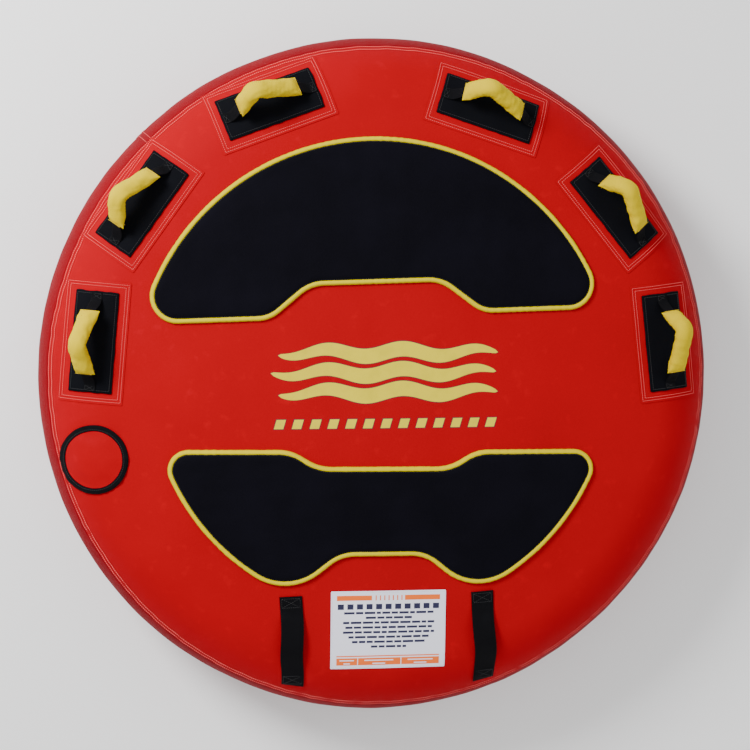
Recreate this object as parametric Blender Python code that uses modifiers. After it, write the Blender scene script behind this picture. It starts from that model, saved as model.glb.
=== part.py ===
"""Round two-rider towable tube for water sports.

Metres, +Z up, +Y towards the bow (the tow end), +X to starboard.
The origin is on the ground under the tube's centre.

The inflated shape is a slightly crowned deck that rolls over a round rim to a flat base.
Every fabric piece that lies on it is a shell at a small distance from that one surface,
cut to its outline in plan, so the layers stay parallel and never touch.
"""
import math

import bmesh
import bpy
from mathutils import Matrix, Vector

# --- Driving dimensions -------------------------------------------------------------------
TUBE_RADIUS = 0.760             # inflated, 1.52 m (60 in) across
ROLL_RADIUS = 0.160             # radius of the rounded rim: 0.32 m thick at the rim
CROWN_TILT = math.radians(3.0)  # slope of the deck where it meets the rim
SEGMENTS = 48                   # facets round the tube

SEAM_TILT = math.radians(52.0)  # tilt of the surface normal at the top seam, from straight up
BAND_END_TILT = math.radians(128.0)

COVER_THICK = 0.0009
BLADDER_SLACK = 0.0050          # between cover and bladder
BLADDER_THICK = 0.0007
BAFFLE_THICK = 0.0008
BAFFLE_CLEARANCE = 0.0120
BAFFLE_SPACING = 0.300
LAYER_GAP = 0.0004              # between fabric layers
PATCH_THICK = 0.0012
KNUCKLE_THICK = 0.0050
WEBBING_THICK = 0.0020

# Body pads: outlines are in each pad's own frame, mirrored left to right
PAD_THICK = 0.0110
LABEL_THICK = 0.0006
PIPING_WIDTH = 0.0105
PIPING_HEIGHT = 0.0125
FRONT_PAD_PLACE = (-0.022, 0.0, math.radians(1.8))
REAR_PAD_PLACE = (-0.008, 0.0, math.radians(-0.7))

# Handles: name, azimuth from the bow, plan radius, turn of the pad, elbow shift, lean at rest
HANDLES = (
    ("left_front", -23.1, 0.647, -2.6, -0.028, 23.0),
    ("left_middle", -54.0, 0.650, 0.4, -0.017, 38.0),
    ("left_rear", -81.9, 0.636, 3.0, -0.004, 24.0),
    ("right_front", 20.4, 0.631, 2.5, -0.022, 25.0),
    ("right_middle", 53.1, 0.630, 2.4, -0.024, 24.0),
    ("right_rear", 82.4, 0.627, -1.2, -0.028, 16.0),
)
PATCH_SIZE = (0.262, 0.138)
KNUCKLE_SIZE = (0.218, 0.092)
HANDLE_HINGE_LIFT = 0.0115      # hinge line above the cover
HANDLE_ROOT = (0.084, 0.0025)   # webbing root, along the chord and up from the hinge centre
SLEEVE_END = (0.066, 0.022)
SLEEVE_APEX = 0.080
SLEEVE_HALF_WIDTH = 0.0200
SLEEVE_HALF_DEPTHS = (0.0085, 0.0150, 0.0160, 0.0165, 0.0160, 0.0150, 0.0085)
SLEEVE_WALL = 0.0015
SLEEVE_SIDES = 10
FOAM_GAP = 0.0018               # the sleeve is loose on its foam
FOAM_SLOT = (0.0155, 0.0040)    # half sizes of the slot that the webbing runs through
HANDLE_WEBBING_WIDTH = 0.0254   # 1 in webbing
HANDLE_ROOT_WIDTH = 0.0080      # its ends are cut to a point, so that the handle can lie over

# Valve and its cover, on the port shoulder
VALVE_CENTRE = (-0.633, -0.1625)
VALVE_COVER_SIZE = (0.146, 0.150)
VALVE_COVER_LOW = 0.0075
VALVE_COVER_HIGH = 0.0095
BINDING_WIDTH = 0.0130
VALVE_HOLE_RADIUS = 0.045
VALVE_SLEEVE_RADIUS = 0.0195
VALVE_LIP_RADIUS = 0.0240
VALVE_THREAD_RADIUS = 0.0165
VALVE_THREAD_GAP = 0.0006
VALVE_BORE_RADIUS = 0.0120
VALVE_FLANGE_RADIUS = 0.039
VALVE_FLANGE_THICK = 0.0010
VALVE_FLANGE_LIFT = 0.0024      # above the bladder, which has coarser facets
VALVE_CAP_HINGE = (0.0200, 0.0036)
VALVE_PLUG_RADIUS = 0.0108

# Stern: boarding straps and label
STRAP_WIDTH = 0.0508            # 2 in webbing
STRAP_BOW = 0.0140              # how far the middle stands off the deck
STRAP_CLEARANCE = 0.0012        # its straight width over the curved deck
STRAPS = (
    ("left", (-0.2143, -0.4670), (-0.2080, -0.6720)),
    ("right", (0.2085, -0.4655), (0.2203, -0.6725)),
)
LABEL_SIZE = (0.254, 0.174)
LABEL_PLACE = (0.000, -0.546, math.radians(-0.4))

# Bow: tow point.  Stern: zipper.  Base: drain grommets
TOW_PATCH_HALF_WIDTH = 0.090
TOW_TAB_TILTS = (math.radians(98.0), math.radians(113.0))
TOW_HINGE_TILT = math.radians(116.0)
TOW_HINGE_LIFT = 0.0060
TOW_TAB_LIFT = 0.0010           # over the patch, as the knuckle pads lie over theirs
TOW_LOOP_LENGTH = 0.072
TOW_LOOP_DEPTH = 0.0170
TOW_WEBBING_THICK = 0.0030
ZIP_TILT = math.radians(115.3)
ZIP_HALF_ANGLE = math.radians(19.0)
ZIP_CHAIN_HALF = 0.0040
ZIP_TAPE_HALF = 0.0190
ZIP_SLIDER_LENGTH = 0.024
ZIP_BRIDGE_LENGTH = 0.0024
ZIP_PULL_LIFT = 0.0125          # pivot above the cover
ZIP_PULL_LENGTH = 0.0300
ZIP_PULL_HALF_THICK = 0.0008
GROMMET_RADIUS = 0.660
GROMMET_BACK = -0.030           # off the cross line, so that it misses the panel's edges
GROMMET_HOLE = 0.0120
GROMMET_RIM = 0.0200

# --- Worked out from the driving dimensions -----------------------------------------------
ROLL_CENTRE_R = TUBE_RADIUS - ROLL_RADIUS
ROLL_CENTRE_Z = ROLL_RADIUS
CROWN_EDGE_R = ROLL_CENTRE_R + ROLL_RADIUS * math.sin(CROWN_TILT)
CROWN_RADIUS = CROWN_EDGE_R / math.sin(CROWN_TILT)
CROWN_CENTRE_Z = ROLL_CENTRE_Z + (ROLL_RADIUS - CROWN_RADIUS) * math.cos(CROWN_TILT)
KNUCKLE_LOW = 2 * LAYER_GAP + PATCH_THICK
KNUCKLE_HIGH = KNUCKLE_LOW + KNUCKLE_THICK
FAR = 2.0                       # larger than the tube, for cutters

PARTS = "towable_tube"
CUTTERS = "cutters"


# --- Scene helpers ------------------------------------------------------------------------
def clear_scene():
    for thing in list(bpy.data.objects):
        bpy.data.objects.remove(thing, do_unlink=True)
    for name in (PARTS, CUTTERS):
        group = bpy.data.collections.new(name)
        bpy.context.scene.collection.children.link(group)


def material(name, colour, roughness, metallic=0.0):
    found = bpy.data.materials.get(name)
    if found:
        return found
    made = bpy.data.materials.new(name)
    made.use_nodes = True
    shader = made.node_tree.nodes["Principled BSDF"]
    shader.inputs["Base Color"].default_value = (*colour, 1.0)
    shader.inputs["Roughness"].default_value = roughness
    shader.inputs["Metallic"].default_value = metallic
    return made


def red_nylon():
    return material("red_nylon", (0.72, 0.005, 0.010), 0.55)


def dark_red_nylon():
    return material("dark_red_nylon", (0.40, 0.008, 0.016), 0.55)


def black_neoprene():
    return material("black_neoprene", (0.010, 0.010, 0.014), 0.85)


def black_webbing():
    return material("black_webbing", (0.012, 0.012, 0.014), 0.75)


def yellow_fabric():
    return material("yellow_fabric", (0.95, 0.78, 0.01), 0.60)


def grey_foam():
    return material("grey_foam", (0.30, 0.30, 0.31), 0.90)


def blue_vinyl():
    return material("blue_vinyl", (0.05, 0.16, 0.42), 0.35)


def white_plastic():
    return material("white_plastic", (0.80, 0.80, 0.80), 0.40)


def black_plastic():
    return material("black_plastic", (0.015, 0.015, 0.017), 0.45)


def white_label():
    return material("white_label", (0.85, 0.85, 0.88), 0.50)


def brass():
    return material("brass", (0.62, 0.42, 0.15), 0.35, 1.0)


def add(name, mesh, finish=None, group=PARTS):
    made = bpy.data.objects.new(name, mesh)
    bpy.data.collections[group].objects.link(made)
    if finish:
        mesh.materials.append(finish)
    if group == CUTTERS:
        made.hide_render = True
        made.display_type = 'WIRE'
    return made


def add_empty(name, matrix, parent=None):
    made = bpy.data.objects.new(name, None)
    made.empty_display_size = 0.03
    bpy.data.collections[PARTS].objects.link(made)
    if parent:
        made.parent = parent
        made.matrix_parent_inverse = parent.matrix_world.inverted()
    made.matrix_world = matrix
    bpy.context.view_layer.update()
    return made


def hang_on(child, empty):
    """Parent a piece that is already in place to the empty on its joint's axis."""
    child.parent = empty
    child.matrix_parent_inverse = empty.matrix_world.inverted()


def boolean(target, cutter, operation):
    step = target.modifiers.new(operation.lower(), 'BOOLEAN')
    step.operation = operation
    step.solver = 'EXACT'
    step.object = cutter


def from_bmesh(name, shape, smooth_angle=40.0):
    bmesh.ops.recalc_face_normals(shape, faces=shape.faces)
    mesh = bpy.data.meshes.new(name)
    shape.to_mesh(mesh)
    shape.free()
    mesh.shade_smooth()
    mesh.set_sharp_from_angle(angle=math.radians(smooth_angle))
    return mesh


# --- The tube's surface -------------------------------------------------------------------
def surface(tilt, lift=0.0):
    """Radius and height where the surface normal leans by tilt from straight up."""
    if tilt < CROWN_TILT:
        radius = (CROWN_RADIUS + lift) * math.sin(tilt)
        return radius, CROWN_CENTRE_Z + (CROWN_RADIUS + lift) * math.cos(tilt)
    radius = ROLL_CENTRE_R + (ROLL_RADIUS + lift) * math.sin(tilt)
    return radius, ROLL_CENTRE_Z + (ROLL_RADIUS + lift) * math.cos(tilt)


def tilt_at(radius):
    """Tilt of the upper surface's normal at a plan radius."""
    if radius < CROWN_EDGE_R:
        return math.asin(radius / CROWN_RADIUS)
    return math.asin((radius - ROLL_CENTRE_R) / ROLL_RADIUS)


def on_surface(x, y, lift=0.0):
    """Point above plan position x, y, lifted along the normal, and that normal."""
    plan = Vector((x, y, 0.0))
    outward = plan.normalized()
    tilt = tilt_at(plan.length)
    normal = outward * math.sin(tilt) + Vector((0, 0, math.cos(tilt)))
    radius, height = surface(tilt)
    return outward * radius + Vector((0, 0, height)) + normal * lift, normal


def between(first, last, steps):
    return [first + (last - first) * i / steps for i in range(steps + 1)]


def top_tilts():
    crown = between(0.0, CROWN_TILT, 3)
    return crown + between(CROWN_TILT, SEAM_TILT, 5)[1:]


def band_tilts():
    seam = LAYER_GAP / ROLL_RADIUS
    return between(SEAM_TILT + seam, BAND_END_TILT - seam, 6)


def base_tilts():
    return between(BAND_END_TILT, math.pi, 4)


def turned(name, runs, finish=None, group=PARTS, segments=SEGMENTS):
    """Turn profiles about Z.  Each run is (points, closed), going down its outer side."""
    vertices = []
    edges = []
    for points, closed in runs:
        start = len(vertices)
        vertices += [(r, 0.0, z) for r, z in points]
        edges += [(start + i, start + i + 1) for i in range(len(points) - 1)]
        if closed:
            edges.append((len(vertices) - 1, start))
    mesh = bpy.data.meshes.new(name)
    mesh.from_pydata(vertices, edges, [])
    made = add(name, mesh, finish, group)
    screw = made.modifiers.new("turn", 'SCREW')
    screw.axis = 'Z'
    screw.angle = math.tau
    screw.steps = segments
    screw.render_steps = segments
    screw.use_merge_vertices = True
    screw.merge_threshold = 0.00001
    screw.use_smooth_shade = False
    return made


def layer(name, tilts, low, high, finish=None, segments=SEGMENTS):
    """Shell between two lifts above the surface, over a run of tilts."""
    outer = [surface(tilt, high) for tilt in tilts]
    inner = [surface(tilt, low) for tilt in reversed(tilts)]
    return turned(name, [(outer + inner, tilts[0] > 0)], finish, segments=segments)


# --- Outlines -----------------------------------------------------------------------------
def arc(centre, radius, start, stop, steps):
    angles = between(start, stop, steps)
    return [(centre[0] + radius * math.cos(a), centre[1] + radius * math.sin(a)) for a in angles]


def fillet(before, corner, after, radius, steps=4):
    """Round the corner between two straight sides."""
    corner = Vector(corner)
    into = (Vector(before) - corner).normalized()
    out = (Vector(after) - corner).normalized()
    half = into.angle(out) / 2
    centre = corner + (into + out).normalized() * radius / math.sin(half)
    first = corner + into * radius / math.tan(half) - centre
    last = corner + out * radius / math.tan(half) - centre
    sweep = first.angle_signed(last)
    return [tuple(centre + Matrix.Rotation(-sweep * i / steps, 2) @ first)
            for i in range(steps + 1)]


def corner_on_rim(corner, toward, rim_radius, radius, side=1, steps=5):
    """Round the corner where a straight side meets the circular outer side.

    The pad is on the straight side's left where side is 1, and on its right where it is -1.
    Returns the fillet's points, from the straight side to the rim, and the angle on the
    rim where it ends.
    """
    corner = Vector(corner)
    along = (Vector(toward) - corner).normalized()
    inside = Vector((-along.y, along.x)) * side
    base = corner + inside * radius
    half_b = base.dot(along)
    reach = -half_b + math.sqrt(half_b ** 2 - base.length_squared + (rim_radius - radius) ** 2)
    centre = base + along * reach
    first = -inside * radius
    last = centre.normalized() * radius
    sweep = first.angle_signed(last)
    points = [tuple(centre + Matrix.Rotation(-sweep * i / steps, 2) @ first)
              for i in range(steps + 1)]
    return points, math.atan2(last.y, last.x)


def mirrored(half):
    """Close an outline whose starboard half runs from its inner to its outer middle."""
    return half + [(-x, y) for x, y in reversed(half) if abs(x) > 1e-6]


def front_pad_outline():
    """Half moon with a raised middle in its rear edge."""
    rim, low, middle = 0.528, 0.1415, 0.2125
    upper, lower, beyond = (0.1405, middle), (0.2305, low), (0.4, low)
    half = [(0.0, middle)]
    half += fillet((0.0, middle), upper, lower, 0.045)
    half += fillet(upper, lower, beyond, 0.045)
    tip, end = corner_on_rim(lower, beyond, rim, 0.058)
    half += tip
    half += arc((0.0, 0.0), rim, end, math.pi / 2, 9)[1:]
    return mirrored(half)


def rear_pad_outline():
    """Two lobes joined by a bridge that is notched on both sides."""
    rim, top, bridge_top, bridge_low = 0.5085, -0.1477, -0.1845, -0.3810
    lobe, notch, beyond = (0.202, top), (0.144, bridge_top), (0.4, top)
    low_corner = (0.0915, bridge_low)
    low_line = (low_corner[0] + 0.078, low_corner[1] - 0.0625)
    half = [(0.0, bridge_low)]
    half += fillet((0.0, bridge_low), low_corner, low_line, 0.055)
    belly, start = corner_on_rim(low_corner, low_line, rim, 0.120)
    half += belly
    tip, end = corner_on_rim(lobe, beyond, rim, 0.044, side=-1)
    half += arc((0.0, 0.0), rim, start, end, 6)[1:-1]
    half += list(reversed(tip))
    half += fillet(beyond, lobe, notch, 0.045)
    half += fillet(lobe, notch, (0.0, bridge_top), 0.045)
    half += [(0.0, bridge_top)]
    return mirrored(half)


def inset(outline, distance):
    """The outline moved inwards by an even distance, for outlines that run anticlockwise."""
    moved = []
    for i, point in enumerate(outline):
        into = (Vector(point) - Vector(outline[i - 1])).normalized()
        out = (Vector(outline[(i + 1) % len(outline)]) - Vector(point)).normalized()
        normal = Vector((-into.y - out.y, into.x + out.x)).normalized()
        reach = distance / normal.dot(Vector((-into.y, into.x)))
        moved.append((point[0] + normal.x * reach, point[1] + normal.y * reach))
    return moved


def placed(outline, place):
    x, y, turn = place
    spin = Matrix.Rotation(turn, 2)
    return [tuple(spin @ Vector(point) + Vector((x, y))) for point in outline]


def rectangle(size, place=(0.0, 0.0, 0.0)):
    half_x, half_y = size[0] / 2, size[1] / 2
    corners = [(-half_x, -half_y), (half_x, -half_y), (half_x, half_y), (-half_x, half_y)]
    return placed(corners, place)


def ellipse(size, place=(0.0, 0.0, 0.0), steps=28):
    points = [(size[0] / 2 * math.cos(math.tau * i / steps),
               size[1] / 2 * math.sin(math.tau * i / steps)) for i in range(steps)]
    return placed(points, place)


def prism(name, outlines, low=-FAR, high=FAR, group=CUTTERS, finish=None):
    """Upright prisms on plan outlines."""
    shape = bmesh.new()
    for outline in outlines:
        ring = [shape.verts.new((x, y, low)) for x, y in outline]
        face = shape.faces.new(ring)
        lifted = bmesh.ops.extrude_face_region(shape, geom=[face])["geom"]
        for item in lifted:
            if isinstance(item, bmesh.types.BMVert):
                item.co.z = high
    return add(name, from_bmesh(name, shape), finish, group)


def sewn_on(name, outlines, low, high, finish, holes=None):
    """Fabric piece on the upper surface, cut to outlines in plan."""
    piece = layer(name, top_tilts(), low, high, finish)
    boolean(piece, prism(name + "_cut", outlines), 'INTERSECT')
    if holes:
        boolean(piece, prism(name + "_hole", holes), 'DIFFERENCE')
    return piece


# --- Cover and bladder --------------------------------------------------------------------
def valve_frame():
    """Matrix with its origin on the cover at the valve and Z along the normal."""
    point, normal = on_surface(*VALVE_CENTRE)
    outward = Vector((*VALVE_CENTRE, 0.0)).normalized()
    side = normal.cross(outward).normalized()
    return Matrix((
        (side.cross(normal).x, side.x, normal.x, point.x),
        (side.cross(normal).y, side.y, normal.y, point.y),
        (side.cross(normal).z, side.z, normal.z, point.z),
        (0, 0, 0, 1),
    ))


def valve_cutter(name, radius):
    shape = bmesh.new()
    bmesh.ops.create_cone(shape, cap_ends=True, segments=20, radius1=radius, radius2=radius,
                          depth=0.08)
    cutter = add(name, from_bmesh(name, shape), group=CUTTERS)
    cutter.matrix_world = valve_frame()
    return cutter


def grommet_place(side):
    return side * GROMMET_RADIUS, GROMMET_BACK, 0.0


def make_cover():
    top = layer("cover_top", top_tilts(), -COVER_THICK, 0.0, red_nylon())
    boolean(top, valve_cutter("valve_access_cut", VALVE_HOLE_RADIUS), 'DIFFERENCE')

    layer("cover_side_band", band_tilts(), -COVER_THICK, 0.0, dark_red_nylon())

    tilts = base_tilts()
    inner = [(0.0, COVER_THICK)] + [surface(tilt, -COVER_THICK) for tilt in reversed(tilts)]
    outer = [surface(tilt) for tilt in tilts] + [(0.0, 0.0)]
    bottom = turned("cover_bottom", [(inner + outer, False)], red_nylon())
    mouths = [ellipse((2 * GROMMET_HOLE, 2 * GROMMET_HOLE), grommet_place(side), 14)
              for side in (-1, 1)]
    boolean(bottom, prism("drain_cut", mouths, high=ROLL_CENTRE_Z), 'DIFFERENCE')


def make_bladder():
    """Thin closed bag; its only opening is the valve's."""
    low = -COVER_THICK - BLADDER_SLACK
    tilts = [0.0, CROWN_TILT] + between(CROWN_TILT, math.pi, 7)[1:]
    outer = [surface(tilt, low) for tilt in tilts] + [(0.0, -low)]
    thin = low - BLADDER_THICK
    inner = [surface(tilt, thin) for tilt in tilts] + [(0.0, -thin)]
    bag = turned("bladder", [(outer, False), (inner[::-1], False)], blue_vinyl(), segments=32)
    boolean(bag, valve_cutter("valve_weld_cut", VALVE_SLEEVE_RADIUS + LAYER_GAP), 'DIFFERENCE')


def make_baffles():
    """Upright webs, crossed by one more, that hold the deck and the base apart."""
    below = -COVER_THICK - BLADDER_SLACK - BAFFLE_CLEARANCE
    tilts = [0.0, CROWN_TILT] + [math.radians(lean) for lean in (30.0, 150.0, 180.0)]
    outline = [surface(tilt, below) for tilt in tilts] + [(0.0, -below)]
    webs = turned("bladder_baffles", [(outline, False)], blue_vinyl(), segments=24)
    half = BAFFLE_THICK / 2
    rows = (-BAFFLE_SPACING, 0.0, BAFFLE_SPACING)
    strips = [rectangle((FAR, BAFFLE_THICK), (0.0, y, 0.0)) for y in rows]
    grid = prism("baffle_grid", strips)
    boolean(grid, slab("baffle_cross", (-half, -1, -FAR), (half, 1, FAR)), 'UNION')
    boolean(webs, grid, 'INTERSECT')


# --- Body pads and label ------------------------------------------------------------------
def make_body_pads():
    pads = (
        ("front_pad", front_pad_outline, FRONT_PAD_PLACE),
        ("rear_pad", rear_pad_outline, REAR_PAD_PLACE),
    )
    for name, outline, place in pads:
        core = placed(inset(outline(), PIPING_WIDTH + LAYER_GAP), place)
        sewn_on(name, [core], LAYER_GAP, LAYER_GAP + PAD_THICK, black_neoprene())
        rim = placed(outline(), place)
        mouth = placed(inset(outline(), PIPING_WIDTH), place)
        sewn_on(name + "_piping", [rim], LAYER_GAP, LAYER_GAP + PIPING_HEIGHT, yellow_fabric(),
                holes=[mouth])


def make_label():
    outline = rectangle(LABEL_SIZE, LABEL_PLACE)
    sewn_on("information_label", [outline], LAYER_GAP, LAYER_GAP + LABEL_THICK, white_label())


# --- Straps -------------------------------------------------------------------------------
def loft(rings, closed=True):
    """Skin a row of equal rings; closed ends when it isn't a hollow tube."""
    shape = bmesh.new()
    rows = [[shape.verts.new(point) for point in ring] for ring in rings]
    count = len(rows[0])
    for row, following in zip(rows, rows[1:]):
        for i in range(count):
            j = (i + 1) % count
            shape.faces.new((row[i], row[j], following[j], following[i]))
    if closed:
        shape.faces.new(rows[0])
        shape.faces.new(rows[-1])
    return shape


def hollow_loft(outer_rings, inner_rings):
    """Tube with a bore: outer rings out, inner rings back, joined at both ends."""
    rings = outer_rings + inner_rings[::-1]
    shape = loft(rings, closed=False)
    shape.verts.ensure_lookup_table()
    count = len(outer_rings[0])
    last = len(rings) - 1
    for i in range(count):
        j = (i + 1) % count
        shape.faces.new((shape.verts[last * count + i], shape.verts[last * count + j],
                         shape.verts[j], shape.verts[i]))
    return shape


def make_boarding_straps():
    """Webbing sewn down at both ends, bowed between them so that a hand goes under."""
    for side, start, stop in STRAPS:
        start, stop = Vector(start), Vector(stop)
        across = Vector((stop.y - start.y, start.x - stop.x, 0.0)).normalized()
        rings = []
        for t in between(0.0, 1.0, 14):
            plan = start.lerp(stop, t)
            free = min(max((t - 0.14) / 0.72, 0.0), 1.0)
            lift = STRAP_CLEARANCE + STRAP_BOW * math.sin(math.pi * free) ** 2
            low, normal = on_surface(plan.x, plan.y, lift)
            high = low + normal * WEBBING_THICK
            half = (across - normal * across.dot(normal)).normalized() * STRAP_WIDTH / 2
            rings.append([low - half, low + half, high + half, high - half])
        name = "boarding_strap_" + side
        add(name, from_bmesh(name, loft(rings)), black_webbing())


# --- Handles ------------------------------------------------------------------------------
def handle_place(azimuth, radius, turn):
    """Plan centre and direction of a handle's pad."""
    angle = math.radians(azimuth)
    chord = -angle + math.radians(turn)
    return radius * math.sin(angle), radius * math.cos(angle), chord


def make_handle_bases():
    for name, azimuth, radius, turn, _, _ in HANDLES:
        place = handle_place(azimuth, radius, turn)
        sewn_on("handle_patch_" + name, [rectangle(PATCH_SIZE, place)],
                LAYER_GAP, LAYER_GAP + PATCH_THICK, red_nylon())
        sewn_on("knuckle_pad_" + name, [rectangle(KNUCKLE_SIZE, place)],
                KNUCKLE_LOW, KNUCKLE_HIGH, black_neoprene())


def handle_path(shift):
    """Centreline from root to root, (along the chord, up), and its sleeved stretch."""
    apex = Vector((shift, SLEEVE_APEX))
    legs = []
    for side in (-1, 1):
        root = Vector((side * HANDLE_ROOT[0], HANDLE_ROOT[1]))
        end = Vector((side * SLEEVE_END[0], SLEEVE_END[1]))
        legs.append([root, end, end.lerp(apex, 0.38), end.lerp(apex, 0.70)])
    elbow = apex - Vector((0.0, 0.006))
    return legs[0] + [elbow] + legs[1][::-1]


def section(path, index, half_width, half_thick, sides):
    """Ring round a path point: half_width across the handle's plane, half_thick within it."""
    before = path[max(index - 1, 0)]
    after = path[min(index + 1, len(path) - 1)]
    tangent = (after - before).normalized()
    up = Vector((-tangent.y, tangent.x))
    ring = []
    for i in range(sides):
        angle = math.tau * (i + 0.5) / sides
        wide = half_width * math.cos(angle)
        thick = half_thick * math.sin(angle)
        spot = path[index] + up * thick
        ring.append(Vector((spot.x, wide, spot.y)))
    return ring


def handle_frame(azimuth, radius, turn, lean):
    """Hinge frame: X along the webbing roots, Z up the leaning handle."""
    x, y, chord = handle_place(azimuth, radius, turn)
    centre, _ = on_surface(x, y, HANDLE_HINGE_LIFT)
    along = Vector((math.cos(chord), math.sin(chord), 0.0))
    outward = Vector((-along.y, along.x, 0.0))
    if outward.dot(Vector((x, y, 0.0))) < 0:
        outward = -outward
    up = outward * math.sin(math.radians(lean)) + Vector((0, 0, math.cos(math.radians(lean))))
    across = up.cross(along)
    rows = [(along[i], across[i], up[i], centre[i]) for i in range(3)]
    return Matrix(rows + [(0, 0, 0, 1)])


def make_handle_grip(name, path):
    """Fabric sleeve round a foam core; both leave the webbing's two ends bare."""
    sleeved = range(1, len(path) - 1)
    depths = dict(zip(sleeved, SLEEVE_HALF_DEPTHS))
    width = SLEEVE_HALF_WIDTH
    outer = [section(path, i, width, depths[i], SLEEVE_SIDES) for i in sleeved]
    width -= SLEEVE_WALL
    inner = [section(path, i, width, depths[i] - SLEEVE_WALL, SLEEVE_SIDES) for i in sleeved]
    sleeve = add("handle_sleeve_" + name,
                 from_bmesh("sleeve", hollow_loft(outer, inner), 80.0), yellow_fabric())

    width -= FOAM_GAP
    cored = sleeved[1:-1]
    outer = [section(path, i, width, depths[i] - SLEEVE_WALL - FOAM_GAP, SLEEVE_SIDES)
             for i in cored]
    inner = [section(path, i, *FOAM_SLOT, SLEEVE_SIDES) for i in cored]
    foam = add("handle_foam_" + name,
               from_bmesh("foam", hollow_loft(outer, inner), 80.0), grey_foam())
    return sleeve, foam


def make_handle_webbing(name, path):
    flat = math.sqrt(0.5)       # a four-sided ring's corners are at 45 degrees
    last = len(path) - 1
    strip = []
    for i in range(len(path)):
        width = HANDLE_ROOT_WIDTH if i in (0, last) else HANDLE_WEBBING_WIDTH
        strip.append(section(path, i, width / 2 / flat, WEBBING_THICK / 2 / flat, 4))
    return add("handle_webbing_" + name, from_bmesh("webbing", loft(strip)), black_webbing())


def make_handles():
    for name, azimuth, radius, turn, shift, lean in HANDLES:
        hinge = add_empty("handle_hinge_" + name, handle_frame(azimuth, radius, turn, lean))
        path = handle_path(shift)
        for piece in (*make_handle_grip(name, path), make_handle_webbing(name, path)):
            piece.parent = hinge


# --- Valve --------------------------------------------------------------------------------
def valve_piece(name, points, closed, finish, segments=24):
    """Turned piece on the valve's axis; points are (radius, height over the cover)."""
    piece = turned(name, [(points, closed)], finish, segments=segments)
    piece.matrix_world = valve_frame()
    return piece


def make_valve():
    """Boston-type valve: base welded to the bladder, threaded insert, flapper and cap."""
    flange_low = -COVER_THICK - BLADDER_SLACK + VALVE_FLANGE_LIFT
    across = 2 * VALVE_FLANGE_RADIUS
    flange = sewn_on("valve_flange", [ellipse((across, across), (*VALVE_CENTRE, 0.0))],
                     flange_low, flange_low + VALVE_FLANGE_THICK, blue_vinyl())
    boolean(flange, valve_cutter("flange_cut", VALVE_SLEEVE_RADIUS + LAYER_GAP), 'DIFFERENCE')

    lip, sleeve = VALVE_LIP_RADIUS, VALVE_SLEEVE_RADIUS
    mouth = VALVE_THREAD_RADIUS + VALVE_THREAD_GAP
    lip_top, lip_low, foot = -0.0008, -0.0022, -0.0260
    valve_piece("valve_base", [
        (mouth, lip_top), (lip, lip_top), (lip, lip_low), (sleeve, lip_low),
        (sleeve, foot), (mouth, foot),
    ], True, white_plastic())

    bore, thread, rim = VALVE_BORE_RADIUS, VALVE_THREAD_RADIUS, 0.0200
    rim_top, rim_low, foot = 0.0012, -0.0004, -0.0240
    valve_piece("valve_insert", [
        (bore, rim_top), (rim, rim_top), (rim, rim_low), (thread, rim_low),
        (thread, foot), (bore, foot),
    ], True, black_plastic())

    disc, disc_top, disc_low = bore + 0.0020, -0.0245, -0.0257
    valve_piece("valve_flapper", [
        (0.0, disc_top), (disc, disc_top), (disc, disc_low), (0.0, disc_low),
    ], False, black_plastic())

    plug, wall, rim = VALVE_PLUG_RADIUS, 0.0014, 0.0186
    top, edge, under, roof, foot = 0.0042, 0.0034, 0.0018, 0.0010, -0.0030
    cap = valve_piece("valve_cap", [
        (0.0, top), (rim - 0.0008, top), (rim, edge), (rim, under), (plug, under),
        (plug, foot), (plug - wall, foot), (plug - wall, roof), (0.0, roof),
    ], False, black_plastic())
    hinge = valve_frame() @ Matrix.Translation((0.0, *VALVE_CAP_HINGE))
    hang_on(cap, add_empty("valve_cap_hinge", hinge))


def make_valve_cover():
    """Flap sewn along its inboard edge, bound all round in black."""
    plan = (*VALVE_CENTRE, 0.0)
    inside = tuple(size - 2 * BINDING_WIDTH for size in VALVE_COVER_SIZE)
    panel_size = tuple(size - 2 * LAYER_GAP for size in inside)
    panel = sewn_on("valve_cover", [ellipse(panel_size, plan)],
                    VALVE_COVER_LOW, VALVE_COVER_HIGH, red_nylon())
    binding = sewn_on("valve_cover_binding", [ellipse(VALVE_COVER_SIZE, plan)],
                      LAYER_GAP, VALVE_COVER_HIGH + 0.001, black_webbing(),
                      holes=[ellipse(inside, plan)])
    outward = Vector((*VALVE_CENTRE, 0.0)).normalized()
    edge = Vector(VALVE_CENTRE).length - VALVE_COVER_SIZE[0] / 2
    point, _ = on_surface(outward.x * edge, outward.y * edge, 0.005)
    hinge = add_empty("valve_cover_hinge", Matrix.Translation(point))
    hang_on(panel, hinge)
    hang_on(binding, hinge)


# --- Tow point ----------------------------------------------------------------------------
def slab(name, low, high):
    """Box cutter between two corners."""
    shape = bmesh.new()
    bmesh.ops.create_cube(shape, size=1.0)
    low, high = Vector(low), Vector(high)
    for vertex in shape.verts:
        vertex.co = Vector((vertex.co[i] * (high[i] - low[i]) for i in range(3)))
        vertex.co += (low + high) / 2
    return add(name, from_bmesh(name, shape), group=CUTTERS)


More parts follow.
